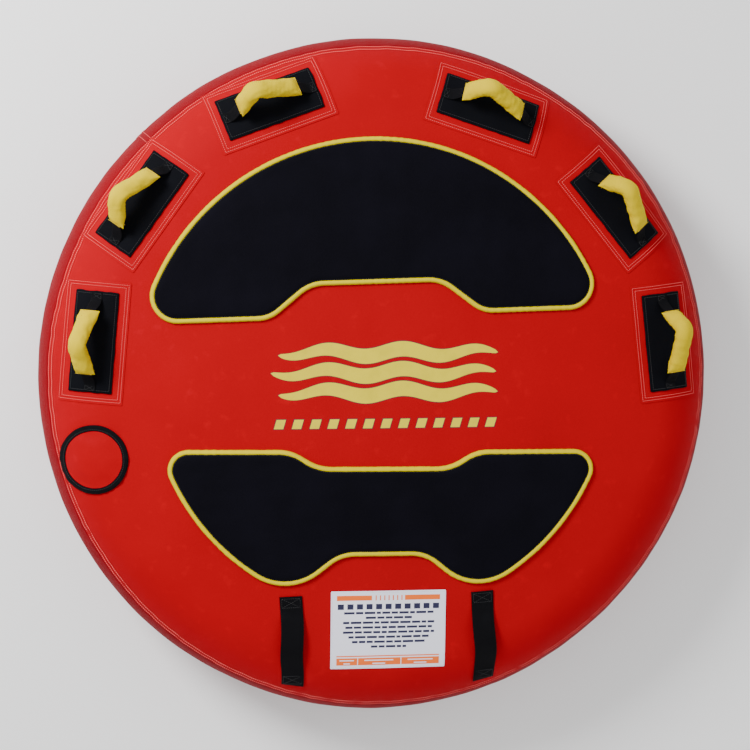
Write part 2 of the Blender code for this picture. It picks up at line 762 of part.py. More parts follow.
def make_tow_point():
    low = LAYER_GAP
    patch = layer("tow_patch", band_tilts()[3:], low, low + PATCH_THICK, black_webbing())
    boolean(patch, slab("tow_patch_cut", (-TOW_PATCH_HALF_WIDTH, 0.3, -1),
                        (TOW_PATCH_HALF_WIDTH, 1, 1)), 'INTERSECT')

    low = KNUCKLE_LOW + TOW_TAB_LIFT
    tab = layer("tow_anchor", between(*TOW_TAB_TILTS, 2), low, low + TOW_WEBBING_THICK,
                black_webbing())
    boolean(tab, slab("tow_anchor_cut", (-STRAP_WIDTH / 2, 0.3, -1), (STRAP_WIDTH / 2, 1, 1)),
            'INTERSECT')

    radius, height = surface(TOW_HINGE_TILT, TOW_HINGE_LIFT)
    hinge = add_empty("tow_loop_hinge", Matrix.Translation((0.0, radius, height)))
    loop = tow_loop_outline(TOW_LOOP_LENGTH, TOW_LOOP_DEPTH, 0.0)
    hole = tow_loop_outline(TOW_LOOP_LENGTH, TOW_LOOP_DEPTH, TOW_WEBBING_THICK)
    curve = bpy.data.curves.new("tow_loop", 'CURVE')
    curve.dimensions = '2D'
    curve.fill_mode = 'BOTH'
    curve.extrude = STRAP_WIDTH / 2
    for points in (loop, hole):
        spline = curve.splines.new('POLY')
        spline.points.add(len(points) - 1)
        spline.use_cyclic_u = True
        for point, (x, y) in zip(spline.points, points):
            point.co = (x, y, 0.0, 1.0)
    piece = add("tow_loop", curve, black_webbing())
    piece.parent = hinge
    piece.matrix_local = Matrix(((0, 0, 1, 0), (1, 0, 0, 0), (0, 1, 0, 0), (0, 0, 0, 1)))


def tow_loop_outline(length, depth, wall):
    """Long loop hanging below its hinge, moved in by wall; the bight at the bottom is round."""
    top, low = -0.0030 - wall, -length + depth / 2
    half = depth / 2 - wall
    neck, shoulder = half * 0.35, top - 0.012
    bight = arc((0.0, low), half, 0.0, -math.pi, 8)
    return [(neck, top), (half, shoulder)] + bight + [(-half, shoulder), (-neck, top)]


# --- Zipper -------------------------------------------------------------------------------
def zip_strip(name, half, low, high, finish):
    spread = half / ROLL_RADIUS
    tilts = between(ZIP_TILT - spread, ZIP_TILT + spread, 2)
    strip = layer(name, tilts, low, high, finish)
    reach = TUBE_RADIUS * math.sin(ZIP_HALF_ANGLE)
    boolean(strip, slab(name + "_cut", (-reach, -1, -1), (reach, -0.3, 1)), 'INTERSECT')
    return strip


def make_zipper():
    zip_strip("zipper_tape", ZIP_TAPE_HALF, LAYER_GAP, 0.0014, black_webbing())
    zip_strip("zipper_chain", ZIP_CHAIN_HALF, 0.0017, 0.0037, black_plastic())

    turn = ZIP_HALF_ANGLE - math.radians(2.0)
    centre_r, centre_z = surface(ZIP_TILT)
    outward = Vector((math.sin(turn), -math.cos(turn), 0.0))
    normal = outward * math.sin(ZIP_TILT) + Vector((0, 0, math.cos(ZIP_TILT)))
    along = Vector((math.cos(turn), math.sin(turn), 0.0))
    across = normal.cross(along)
    point = outward * centre_r + Vector((0, 0, centre_z))
    rows = [(along[i], across[i], normal[i], point[i]) for i in range(3)]
    frame = Matrix(rows + [(0, 0, 0, 1)])

    axis = add_empty("zipper_axis", Matrix.Translation((0.0, 0.0, centre_z)))
    channel = [(-0.0082, 0.0022), (-0.0058, 0.0022), (-0.0058, 0.0048), (0.0058, 0.0048),
               (0.0058, 0.0022), (0.0082, 0.0022), (0.0082, 0.0068), (-0.0082, 0.0068)]
    body = extruded("zipper_slider", channel, ZIP_SLIDER_LENGTH, brass())
    body.matrix_world = frame @ Matrix(((0, 0, 1, 0), (1, 0, 0, 0), (0, 1, 0, 0), (0, 0, 0, 1)))
    arch = [(-0.0080, 0.0060), (-0.0050, 0.0060), (-0.0050, 0.0115), (0.0050, 0.0115),
            (0.0050, 0.0060), (0.0080, 0.0060), (0.0080, 0.0120), (0.0065, 0.0135),
            (-0.0065, 0.0135), (-0.0080, 0.0120)]
    bridge = extruded("zipper_bridge", arch, ZIP_BRIDGE_LENGTH, None, CUTTERS)
    bridge.matrix_world = frame @ Matrix(((1, 0, 0, 0), (0, 0, -1, 0), (0, 1, 0, 0), (0, 0, 0, 1)))
    boolean(body, bridge, 'UNION')
    hang_on(body, axis)

    pivot = point + normal * ZIP_PULL_LIFT
    down = Vector((0.0, 0.0, -1.0))
    thick = along
    wide = down.cross(thick)
    rows = [(wide[i], down[i], thick[i], pivot[i]) for i in range(3)]
    pull_hinge = add_empty("zipper_pull_hinge", Matrix(rows + [(0, 0, 0, 1)]), axis)
    plate = prism("zipper_pull", [zip_pull_outline()], -ZIP_PULL_HALF_THICK,
                  ZIP_PULL_HALF_THICK, PARTS, brass())
    eye = prism("zipper_pull_eye", [ellipse((0.0056, 0.0046), (0.0, 0.0, 0.0), 12)], -0.01, 0.01)
    plate.parent = pull_hinge
    eye.parent = pull_hinge
    boolean(plate, eye, 'DIFFERENCE')


def zip_pull_outline():
    head = arc((0.0, 0.0), 0.0048, math.radians(200.0), math.radians(340.0), 6)
    tail = arc((0.0, ZIP_PULL_LENGTH), 0.0050, 0.0, math.pi, 6)
    return head + tail


def extruded(name, outline, length, finish, group=PARTS):
    """Outline in X and Y, extruded evenly about Z = 0."""
    return prism(name, [outline], -length / 2, length / 2, group, finish)


# --- Drain grommets -----------------------------------------------------------------------
def make_drain_grommets():
    for name, side in (("drain_grommet_port", -1), ("drain_grommet_starboard", 1)):
        ring = layer(name, base_tilts()[1:], LAYER_GAP, LAYER_GAP + PATCH_THICK, brass())
        place = grommet_place(side)
        rim = ellipse((2 * GROMMET_RIM, 2 * GROMMET_RIM), place, 16)
        hole = ellipse((2 * GROMMET_HOLE, 2 * GROMMET_HOLE), place, 16)
        boolean(ring, prism(name + "_rim", [rim], high=ROLL_CENTRE_Z), 'INTERSECT')
        boolean(ring, prism(name + "_hole", [hole], high=ROLL_CENTRE_Z), 'DIFFERENCE')


def main():
    clear_scene()
    make_cover()
    make_bladder()
    make_baffles()
    make_body_pads()
    make_label()
    make_boarding_straps()
    make_handle_bases()
    make_handles()
    make_valve()
    make_valve_cover()
    make_tow_point()
    make_zipper()
    make_drain_grommets()


main()
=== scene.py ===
"""Looks for the round two-rider towable tube, built round its CAD model.

Metres, +Z up, +Y towards the bow, origin on the ground under the centre.
Every fabric piece follows one inflated surface, which ripples a little, at its own lift.
"""

import math

import bmesh
import bpy
import numpy as np
from mathutils import Matrix, Vector, geometry


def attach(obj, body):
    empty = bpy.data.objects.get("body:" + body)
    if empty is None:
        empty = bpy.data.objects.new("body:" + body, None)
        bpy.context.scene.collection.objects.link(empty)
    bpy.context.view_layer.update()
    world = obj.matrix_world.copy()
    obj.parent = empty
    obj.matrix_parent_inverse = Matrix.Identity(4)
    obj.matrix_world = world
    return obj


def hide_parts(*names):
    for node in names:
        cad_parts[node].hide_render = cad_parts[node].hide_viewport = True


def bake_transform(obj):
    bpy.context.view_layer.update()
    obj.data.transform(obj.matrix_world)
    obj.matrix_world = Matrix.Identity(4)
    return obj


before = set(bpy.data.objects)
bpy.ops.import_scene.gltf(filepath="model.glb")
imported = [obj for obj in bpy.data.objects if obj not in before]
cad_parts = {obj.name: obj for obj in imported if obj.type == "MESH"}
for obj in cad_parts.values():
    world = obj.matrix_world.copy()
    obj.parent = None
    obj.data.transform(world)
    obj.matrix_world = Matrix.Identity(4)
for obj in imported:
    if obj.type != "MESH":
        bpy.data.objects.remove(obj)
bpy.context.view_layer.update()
MM = 0.001
UP = np.array([0.0, 0.0, 1.0])

# --- The inflated surface, as in the CAD model --------------------------------------------
TUBE_RADIUS = 0.760
ROLL = 0.160
CROWN_TILT = math.radians(3.0)
ROLL_R = TUBE_RADIUS - ROLL
CROWN_EDGE = ROLL_R + ROLL * math.sin(CROWN_TILT)
CROWN_RADIUS = CROWN_EDGE / math.sin(CROWN_TILT)
CROWN_Z = ROLL + (ROLL - CROWN_RADIUS) * math.cos(CROWN_TILT)
SEAM_TILT = math.radians(52.0)
BASE_SEAM_TILT = math.radians(128.0)
COVER = 0.9 * MM
GAP = 0.4 * MM

PATCH_TOP = GAP + 1.2 * MM
KNUCKLE_TOP = PATCH_TOP + GAP + 5.0 * MM
THREAD = 0.55 * MM
PITCH = 4.6 * MM

# Handles: name, azimuth from the bow, plan radius, turn of the pad, elbow shift, lean at rest
HANDLES = (
    ("left_front", -23.1, 0.647, -2.6, -0.028, 23.0),
    ("left_middle", -54.0, 0.650, 0.4, -0.017, 38.0),
    ("left_rear", -81.9, 0.636, 3.0, -0.004, 24.0),
    ("right_front", 20.4, 0.631, 2.5, -0.022, 25.0),
    ("right_middle", 53.1, 0.630, 2.4, -0.024, 24.0),
    ("right_rear", 82.4, 0.627, -1.2, -0.028, 16.0),
)
HINGE_LIFT = 11.5 * MM
VALVE = (-0.633, -0.1625)


# --- Camera, light and floor --------------------------------------------------------------
CAMERA_PLACE = (-0.46108, 0.23805, 3.66132)
CAMERA_TARGET = (-0.0134, 0.0063, 0.2)
LENS = 74.57
# Lights: name, place, target, disk size, power
LIGHTS = (
    ("key_light", (-2.1, 1.7, 2.5), (0, 0, 0.1), 1.2, 180),
    ("fill_light", (2.6, 0.4, 2.4), (0, 0, 0.2), 2.4, 16),
    ("back_light", (0.3, -3.2, 1.6), (0, 0, 0.2), 2.0, 18),
)
SKY_STRENGTH = 0.78
FLOOR_HALF = 30.0


def look_at(thing, place, target, up=(0, 0, 1)):
    back = (Vector(place) - Vector(target)).normalized()
    right = Vector(up).cross(back).normalized()
    turned_to = Matrix((right, back.cross(right), back)).transposed().to_4x4()
    thing.matrix_world = Matrix.Translation(place) @ turned_to


def add_object(name, data):
    thing = bpy.data.objects.new(name, data)
    bpy.context.scene.collection.objects.link(thing)
    return thing


def make_camera():
    data = bpy.data.cameras.new("camera")
    data.lens = LENS
    data.sensor_width = 36.0
    data.clip_end = 50.0
    camera = add_object("camera", data)
    look_at(camera, CAMERA_PLACE, CAMERA_TARGET, up=(0, 1, 0))
    bpy.context.scene.camera = camera


def make_studio():
    for name, place, target, size, power in LIGHTS:
        data = bpy.data.lights.new(name, 'AREA')
        data.shape = 'DISK'
        data.size = size
        data.energy = power
        look_at(add_object(name, data), place, target)
    world = bpy.data.worlds.new("studio")
    world.use_nodes = True
    background = world.node_tree.nodes["Background"]
    background.inputs["Color"].default_value = (1, 1, 1, 1)
    background.inputs["Strength"].default_value = SKY_STRENGTH
    bpy.context.scene.world = world

    mesh = bpy.data.meshes.new("floor")
    corners = [(x * FLOOR_HALF, y * FLOOR_HALF, 0) for x, y in ((-1, -1), (1, -1), (1, 1), (-1, 1))]
    mesh.from_pydata(corners, [], [(0, 1, 2, 3)])
    floor = add_object("floor", mesh)
    floor.location.z = -1.0 * MM
    made = bpy.data.materials.new("floor_paint")
    made.use_nodes = True
    shader = made.node_tree.nodes["Principled BSDF"]
    shader.inputs["Base Color"].default_value = (0.95, 0.95, 0.95, 1)
    shader.inputs["Roughness"].default_value = 0.9
    mesh.materials.append(made)


# --- Materials ----------------------------------------------------------------------------
class Finish:
    """Node material round one Principled shader; inputs may be numbers or other nodes' sockets."""

    def __init__(self, name, colour, roughness):
        self.material = bpy.data.materials.new(name)
        self.material.use_nodes = True
        self.tree = self.material.node_tree
        self.shader = self.tree.nodes["Principled BSDF"]
        self.set(self.shader, "Base Color", (*colour, 1.0))
        self.set(self.shader, "Roughness", roughness)
        self.colour = colour

    def set(self, node, key, value):
        socket = node.inputs[key]
        if isinstance(value, bpy.types.NodeSocket):
            self.tree.links.new(value, socket)
        else:
            socket.default_value = value

    def add(self, kind, settings=None, **inputs):
        node = self.tree.nodes.new("ShaderNode" + kind)
        for key, value in (settings or {}).items():
            setattr(node, key, value)
        for key, value in inputs.items():
            self.set(node, key.replace("_", " "), value)
        return node

    def maths(self, operation, first, second=0.0):
        node = self.add("Math", {"operation": operation})
        self.set(node, 0, first)
        self.set(node, 1, second)
        return node.outputs[0]

    def coordinates(self, kind):
        return self.add("TexCoord").outputs[kind]

    def noise(self, place, scale, detail=3.0):
        return self.add("TexNoise", Vector=place, Scale=scale, Detail=detail).outputs["Fac"]

    def remap(self, value, low, high, start, end):
        limits = {"From_Min": low, "From_Max": high, "To_Min": start, "To_Max": end}
        return self.add("MapRange", Value=value, **limits).outputs[0]

    def wave(self, value, length):
        return self.maths('SINE', self.maths('MULTIPLY', value, math.tau / length))

    def bump(self, height, depth, strength=1.0):
        """Add one more layer of bumps under the ones that are there."""
        node = self.add("Bump", Height=height, Distance=depth, Strength=strength)
        socket = self.shader.inputs["Normal"]
        if socket.links:
            self.tree.links.new(socket.links[0].from_socket, node.inputs["Normal"])
        self.tree.links.new(node.outputs[0], socket)

    def tint(self, value, low, high, start, end, factor):
        """Mix in the colour times a factor, by start at the low value up to end at the high one."""
        share = self.remap(value, low, high, start, end)
        socket = self.shader.inputs["Base Color"]
        now = socket.links[0].from_socket if socket.links else tuple(socket.default_value)
        other = (*(min(c * factor, 1.0) for c in self.colour), 1.0)
        node = self.add("Mix", {"data_type": 'RGBA'})
        for key, value in ((0, share), (6, now), (7, other)):
            self.set(node, key, value)
        self.tree.links.new(node.outputs[2], socket)


def woven(name, colour, roughness, pitch, depth, wear=0.25):
    """Plain weave: over and under threads with painted shade where they go under, uneven dye, pale
    scuffs.
    """
    made = Finish(name, colour, roughness)
    made.set(made.shader, "Specular IOR Level", 0.02)
    parts = made.add("SeparateXYZ", Vector=made.coordinates("UV")).outputs
    weave = made.maths('MULTIPLY', made.wave(parts[0], pitch), made.wave(parts[1], pitch))
    body = made.coordinates("Object")
    made.tint(made.noise(body, 5.0), 0.35, 0.75, 0.0, 0.45, 0.80)
    # Painted shade: the weave's low points are painted darker.
    made.tint(weave, -1.0, 1.0, 0.30, 0.0, 0.72)
    made.tint(made.noise(body, 38.0, 6.0), 0.60, 0.78, 0.0, wear, 1.5)
    fine = made.noise(body, 260.0, 2.0)
    made.set(made.shader, "Roughness",
             made.remap(fine, 0.3, 0.7, roughness - 0.07, roughness + 0.07))
    made.bump(weave, depth, 0.5)
    made.bump(made.noise(body, 14.0, 4.0), 1.6 * MM, 0.25)
    return made.material


def webbed(name, colour, roughness):
    """Heavy webbing: ribs along the strap, crossed by the weft; the raised weave is painted lighter
    as a painted highlight.
    """
    made = Finish(name, colour, roughness)
    parts = made.add("SeparateXYZ", Vector=made.coordinates("UV")).outputs
    ribs = made.wave(parts[0], 1.5 * MM)
    shift = made.maths('MULTIPLY', parts[0], math.tau / (3.0 * MM))
    along = made.maths('MULTIPLY', parts[1], math.tau / (1.3 * MM))
    weft = made.maths('SINE', made.maths('ADD', along, shift))
    weave = made.maths('ADD', made.maths('MULTIPLY', ribs, 0.6), made.maths('MULTIPLY', weft, 0.4))
    # Painted highlight: the raised ribs and weft are painted lighter than the low spots.
    made.tint(weave, -1.0, 1.0, 0.0, 0.5, 2.0)
    made.tint(made.noise(made.coordinates("Object"), 30.0, 5.0), 0.5, 0.8, 0.0, 0.5, 2.2)
    made.bump(weave, 0.35 * MM, 0.8)
    made.set(made.shader, "Specular IOR Level", 0.04)
    return made.material


def faced_neoprene(name, colour):
    """Knitted face over foam: fine pebbling, slight pile, pale dust in the low spots."""
    made = Finish(name, colour, 0.82)
    body = made.coordinates("Object")
    pebble = made.add("TexVoronoi", Vector=body, Scale=620.0).outputs["Distance"]
    made.tint(made.noise(body, 9.0, 4.0), 0.4, 0.75, 0.0, 0.6, 1.9)
    made.tint(pebble, 0.1, 0.6, 0.35, 0.0, 2.4)
    made.bump(pebble, 0.35 * MM, 0.7)
    made.bump(made.noise(body, 22.0, 3.0), 1.2 * MM, 0.25)
    made.set(made.shader, "Specular IOR Level", 0.05)
    return made.material


def plain(name, colour, roughness, grain, depth, metallic=0.0, coat=0.0):
    """Moulded, cast or printed surface: fine grain, faint stains, uneven gloss."""
    made = Finish(name, colour, roughness)
    body = made.coordinates("Object")
    made.tint(made.noise(body, 35.0, 5.0), 0.45, 0.75, 0.0, 0.4, 0.72)
    made.set(made.shader, "Roughness",
             made.remap(made.noise(body, grain / 3), 0.3, 0.7, roughness - 0.06, roughness + 0.1))
    made.bump(made.noise(body, grain, 2.0), depth, 0.6)
    made.set(made.shader, "Metallic", metallic)
    made.set(made.shader, "Coat Weight", coat)
    return made.material


RED = (0.37, 0.0, 0.0060)


def make_finishes():
    return {
        "red": woven("red_cover_nylon", RED, 0.50, 1.3 * MM, 0.16 * MM),
        # The side band's red is the cover red made darker: painted shade for the band's steep sides.
        "shaded_red": woven("side_band_nylon_painted_shade", (0.22, 0.0, 0.0050), 0.50, 1.3 * MM, 0.16 * MM),
        "yellow": woven("yellow_grip_cloth", (0.64, 0.47, 0.0), 0.55, 0.9 * MM, 0.12 * MM, 0.05),
        "piping": woven("yellow_piping_cloth", (0.64, 0.52, 0.0), 0.50, 0.8 * MM, 0.10 * MM, 0.05),
        "webbing": webbed("black_webbing", (0.0030, 0.0030, 0.0038), 0.70),
        "neoprene": faced_neoprene("pad_neoprene", (0.0018, 0.0016, 0.0034)),
        "knuckle": faced_neoprene("knuckle_neoprene", (0.0020, 0.0022, 0.0034)),
        "thread": plain("pink_thread", (0.80, 0.085, 0.080), 0.55, 1500.0, 0.05 * MM),
        "black_thread": plain("black_thread", (0.010, 0.010, 0.012), 0.6, 1500.0, 0.05 * MM),
        "yellow_thread": plain("yellow_thread", (0.80, 0.58, 0.03), 0.6, 1500.0, 0.05 * MM),
        "label": woven("label_cloth", (0.80, 0.80, 0.90), 0.48, 0.7 * MM, 0.04 * MM, wear=0.0),
        "orange": plain("label_orange_ink", (0.80, 0.13, 0.0), 0.5, 900.0, 0.03 * MM),
        "navy": plain("label_dark_ink", (0.006, 0.006, 0.045), 0.5, 900.0, 0.03 * MM),
        "yellow_ink": plain("yellow_print", (0.64, 0.51, 0.0), 0.42, 700.0, 0.05 * MM),
        "vinyl": plain("bladder_vinyl", (0.045, 0.15, 0.40), 0.35, 160.0, 0.25 * MM, coat=0.2),
        "foam": plain("grip_foam", (0.26, 0.26, 0.27), 0.9, 900.0, 0.5 * MM),
        "white_plastic": plain("valve_white_plastic", (0.78, 0.78, 0.76), 0.38, 500.0, 0.05 * MM),
        "black_plastic": plain("valve_black_plastic", (0.014, 0.014, 0.016), 0.42, 700.0, 0.08 * MM),
        "rubber": plain("flapper_rubber", (0.02, 0.02, 0.02), 0.7, 500.0, 0.08 * MM),
        "brass": plain("worn_brass", (0.66, 0.44, 0.17), 0.30, 420.0, 0.06 * MM, 1.0),
    }


# --- Surface maths ------------------------------------------------------------------------
def waves(points, wavelength, seed, count=7):
    """Smooth, repeatable unevenness of about +-1 with bumps about a wavelength long."""
    chance = np.random.default_rng(seed)
    ways = chance.normal(size=(count, points.shape[1]))
    ways /= np.linalg.norm(ways, axis=1)[:, None]
    turns = math.tau / (wavelength * chance.uniform(0.7, 1.6, count))
    start = chance.uniform(0.0, math.tau, count)
    return np.sin(points @ ways.T * turns + start).sum(1) / math.sqrt(count)


def hump(value, width):
    return np.exp(-(value / width) ** 2)


def tilt_at(radius):
    radius = np.asarray(radius, float)
    roll = np.arcsin(np.clip((radius - ROLL_R) / ROLL, -1, 1))
    return np.where(radius < CROWN_EDGE, np.arcsin(np.clip(radius / CROWN_RADIUS, -1, 1)), roll)


def profile(tilt, lift=0.0):
    """Radius and height of the plain surface, moved out along its normal."""
    crown = tilt < CROWN_TILT
    radius = np.where(crown, CROWN_RADIUS * np.sin(tilt), ROLL_R + ROLL * np.sin(tilt))
    height = np.where(crown, CROWN_Z + CROWN_RADIUS * np.cos(tilt), ROLL + ROLL * np.cos(tilt))
    return radius + lift * np.sin(tilt), height + lift * np.cos(tilt)


def arc_length(tilt):
    """Along the surface from the middle of the deck."""
    crown = CROWN_RADIUS * np.minimum(tilt, CROWN_TILT)
    return crown + ROLL * np.maximum(tilt - CROWN_TILT, 0.0)


TOP_ROWS = (math.radians(50.0), math.radians(53.9))
TOP_EDGE = math.radians(55.0)


def ripple(points, azimuth, tilt):
    """How far the inflated cloth stands off its plain shape."""
    broad = 0.9 * MM * waves(points, 0.30, 3) + 0.25 * MM * waves(points, 0.07, 5)
    rim = azimuth[:, None] * 0.72
    pucker = 0.4 * MM * waves(rim, 0.030, 7) + 0.5 * MM * waves(rim, 0.07, 8)
    near = sum(pucker * hump((tilt - seam) * ROLL, 0.022) for seam in (SEAM_TILT, BASE_SEAM_TILT))
    groove = sum(0.5 * MM * hump((tilt - row) * ROLL, 2.2 * MM) for row in TOP_ROWS)
    grounded = np.clip((tilt - math.radians(140.0)) / math.radians(25.0), 0.0, 1.0)
    return (broad + near - groove) * (1.0 - grounded)


def skin(azimuth, tilt, lift=0.0):
    """Points and normals at azimuths (from +X, anticlockwise) and tilts, at a lift."""
    azimuth, tilt, lift = np.broadcast_arrays(*(np.asarray(a, float) for a in (azimuth, tilt, lift)))
    shape = azimuth.shape
    azimuth, tilt, lift = azimuth.ravel(), tilt.ravel(), lift.ravel()
    out = np.stack([np.cos(azimuth), np.sin(azimuth), np.zeros_like(azimuth)], 1)
    normal = out * np.sin(tilt)[:, None] + UP * np.cos(tilt)[:, None]
    radius, height = profile(tilt)
    base = out * radius[:, None] + UP * height[:, None]
    points = base + normal * (lift + ripple(base, azimuth, tilt))[:, None]
    return points.reshape(*shape, 3), normal.reshape(*shape, 3)


def deck(plan, lift=0.0):
    """Points and normals above plan positions."""
    plan = np.asarray(plan, float)
    return skin(np.arctan2(plan[:, 1], plan[:, 0]), tilt_at(np.hypot(plan[:, 0], plan[:, 1])), lift)


def plain_skin(plan, tilt, lift=0.0):
    """Point and normal without ripples, as the joints have them."""
    outward = np.array([*plan, 0.0]) / math.hypot(*plan)
    radius, height = profile(tilt, lift)
    normal = outward * math.sin(tilt) + UP * math.cos(tilt)
    return outward * radius + UP * height, normal


def frame_at(plan, tilt):
    """Origin, and unit X (outward along the surface), Y (its side) and Z (the normal)."""
    origin, normal = plain_skin(plan, tilt)
    side = cross(normal, [*plan, 0.0])
    return origin, np.cross(side, normal), side, normal


# --- Outlines -----------------------------------------------------------------------------
def arc(centre, radius, start, stop, steps):
    angles = np.linspace(start, stop, steps + 1)
    return [(centre[0] + radius * math.cos(a), centre[1] + radius * math.sin(a)) for a in angles]


def swung(centre, first, last, steps):
    """Points round a centre, as an arm swings from first to last."""
    sweep = first.angle_signed(last)
    return [tuple(centre + Matrix.Rotation(-sweep * i / steps, 2) @ first)
            for i in range(steps + 1)]


def fillet(before, corner, after, radius, steps=14):
    """Round the corner between two straight sides."""
    corner = Vector(corner)
    into = (Vector(before) - corner).normalized()
    out = (Vector(after) - corner).normalized()
    half = into.angle(out) / 2
    centre = corner + (into + out).normalized() * radius / math.sin(half)
    first = corner + into * radius / math.tan(half) - centre
    last = corner + out * radius / math.tan(half) - centre
    return swung(centre, first, last, steps)


def corner_on_rim(corner, toward, rim_radius, radius, side=1):
    """Round the corner where a straight side meets the pad's circular outer side."""
    corner = Vector(corner)
    along = (Vector(toward) - corner).normalized()
    inward = Vector((-along.y, along.x)) * side
    base = corner + inward * radius
    half_b = base.dot(along)
    reach = -half_b + math.sqrt(half_b ** 2 - base.length_squared + (rim_radius - radius) ** 2)
    centre = base + along * reach
    last = centre.normalized() * radius
    return swung(centre, -inward * radius, last, 20), math.atan2(last.y, last.x)


def mirrored(half):
    return half + [(-x, y) for x, y in reversed(half) if abs(x) > 1e-6]


def front_pad_outline():
    rim, low, middle = 0.528, 0.1415, 0.2125
    upper, lower, beyond = (0.1405, middle), (0.2305, low), (0.4, low)
    half = [(0.0, middle)]
    half += fillet((0.0, middle), upper, lower, 0.080)
    half += fillet(upper, lower, beyond, 0.075)
    tip, end = corner_on_rim(lower, beyond, rim, 0.058)
    half += tip
    half += arc((0.0, 0.0), rim, end, math.pi / 2, 60)[1:]
    return mirrored(half)


def rear_pad_outline():
    rim, top, bridge_top, bridge_low = 0.5085, -0.1477, -0.1845, -0.3810
    lobe, notch, beyond = (0.202, top), (0.144, bridge_top), (0.4, top)
    low_corner = (0.0915, bridge_low)
    low_line = (low_corner[0] + 0.078, low_corner[1] - 0.0625)
    half = [(0.0, bridge_low)]
    half += fillet((0.0, bridge_low), low_corner, low_line, 0.085)
    belly, start = corner_on_rim(low_corner, low_line, rim, 0.120)
    half += belly
    tip, end = corner_on_rim(lobe, beyond, rim, 0.044, side=-1)
    half += arc((0.0, 0.0), rim, start, end, 30)[1:-1]
    half += tip[::-1]
    half += fillet(beyond, lobe, notch, 0.100)
    half += fillet(lobe, notch, (0.0, bridge_top), 0.100)
    return mirrored(half + [(0.0, bridge_top)])


def placed(outline, place):
    x, y, turn = place
    c, s = math.cos(turn), math.sin(turn)
    outline = np.asarray(outline, float)
    return outline @ np.array([[c, s], [-s, c]]) + np.array([x, y])


def rectangle(width, height, corner=0.0):
    x, y = width / 2, height / 2
    corners = [(-x, -y), (x, -y), (x, y), (-x, y)]
    if not corner:
        return corners
    return [point for i in range(4)
            for point in fillet(corners[i - 1], corners[i], corners[(i + 1) % 4], corner, 5)]


def ellipse(width, height, steps=120):
    return [(width / 2 * math.cos(math.tau * i / steps), height / 2 * math.sin(math.tau * i / steps))
            for i in range(steps)]


def looped(line):
    return np.vstack([line, line[:1]])


def lengths(line):
    """How far along a line each of its points is."""
    return np.append(0.0, np.cumsum(np.linalg.norm(np.diff(line, axis=0), axis=1)))


def at_lengths(at, along, line):
    return np.stack([np.interp(at, along, line[:, i]) for i in range(line.shape[1])], -1)


def resampled(line, pitch, closed=True):
    """Evenly spaced points along a line of any dimension; corners stay close."""
    line = looped(np.asarray(line, float)) if closed else np.asarray(line, float)
    along = lengths(line)
    count = max(int(round(along[-1] / pitch)), 3)
    at = np.linspace(0.0, along[-1], count + 1)
    return at_lengths(at[:-1] if closed else at, along, line)


def kept_corners(outline, pitch):
    """Points along each straight side, with every corner kept exactly."""
    outline = np.asarray(outline, float)
    points = []
    for start, stop in zip(outline, np.roll(outline, -1, axis=0)):
        count = max(int(round(np.linalg.norm(stop - start) / pitch)), 1)
        points += [start + (stop - start) * i / count for i in range(count)]
    return np.array(points)


def inset(outline, distance):
    """The outline moved inwards by an even distance; it runs anticlockwise."""
    points = np.asarray(outline, float)
    into = points - np.roll(points, 1, axis=0)
    out = np.roll(points, -1, axis=0) - points
    into /= np.linalg.norm(into, axis=1)[:, None]
    out /= np.linalg.norm(out, axis=1)[:, None]
    left = np.stack([-into[:, 1] - out[:, 1], into[:, 0] + out[:, 0]], 1)
    left /= np.linalg.norm(left, axis=1)[:, None]
    along = left[:, 0] * -into[:, 1] + left[:, 1] * into[:, 0]
    return points + left * (distance / along)[:, None]


def distance_to(points, outlines):
    nearest = np.full(len(points), np.inf)
    for outline in outlines:
        outline = np.asarray(outline, float)
        for start, stop in zip(outline, np.roll(outline, -1, axis=0)):
            side = stop - start
            share = np.clip((points - start) @ side / (side @ side), 0.0, 1.0)
            gap = np.linalg.norm(points - start - share[:, None] * side, axis=1)
            nearest = np.minimum(nearest, gap)
    return nearest


def inside(points, outline):
    """Even-odd test."""
    outline = np.asarray(outline, float)
    found = np.zeros(len(points), bool)
    x, y = points[:, 0], points[:, 1]
    for (x0, y0), (x1, y1) in zip(outline, np.roll(outline, -1, axis=0)):
        if y0 == y1:
            continue
        crosses = (y0 > y) != (y1 > y)
        found ^= crosses & (x < (x1 - x0) * (y - y0) / (y1 - y0) + x0)
    return found


def is_within(points, loops):
    """Inside the first outline and outside the others, which are its holes."""
    mask = inside(points, loops[0])
    for hole in loops[1:]:
        mask &= ~inside(points, hole)
    return mask


def finished(name, node, mesh, finish, body, sharp):
    """Put a mesh in the scene with its finish and body, in its CAD node's place."""
    mesh.shade_smooth()
    mesh.set_sharp_from_angle(angle=math.radians(sharp))
    mesh.materials.clear()
    mesh.materials.append(FINISH[finish])
    piece = add_object(name, mesh)
    if body:
        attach(piece, body)
    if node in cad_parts:
        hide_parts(node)
    return piece


def build(name, points, faces, finish, uv=None, body="tube", slot=None, sharp=50.0):
    """Piece from points and UVs in metres; one named as a CAD node replaces that node."""
    mesh = bpy.data.meshes.new(name)
    mesh.from_pydata(np.asarray(points, float).reshape(-1, 3).tolist(), [], faces)
    mesh.update()
    if uv is not None:
        layer = mesh.uv_layers.new(name="metres")
        corners = np.empty(len(mesh.loops), np.int32)
        mesh.loops.foreach_get("vertex_index", corners)
        uv = np.asarray(uv, np.float32).reshape(-1, 2)
        layer.data.foreach_set("uv", uv[corners].ravel())
    return finished(name + "_look", name, mesh, finish, body, sharp)


def flipped(faces):
    return [face[::-1] for face in faces]


def shifted(faces, start):
    return [tuple(i + start for i in face) for face in faces]


def grid_faces(rows, columns, wrap_rows=False, wrap_columns=False):
    index = np.arange(rows * columns).reshape(rows, columns)
    if wrap_rows:
        index = np.vstack([index, index[:1]])
    if wrap_columns:
        index = np.hstack([index, index[:, :1]])
    corners = [index[:-1, :-1], index[:-1, 1:], index[1:, 1:], index[1:, :-1]]
    return np.stack(corners, 2).reshape(-1, 4).tolist()


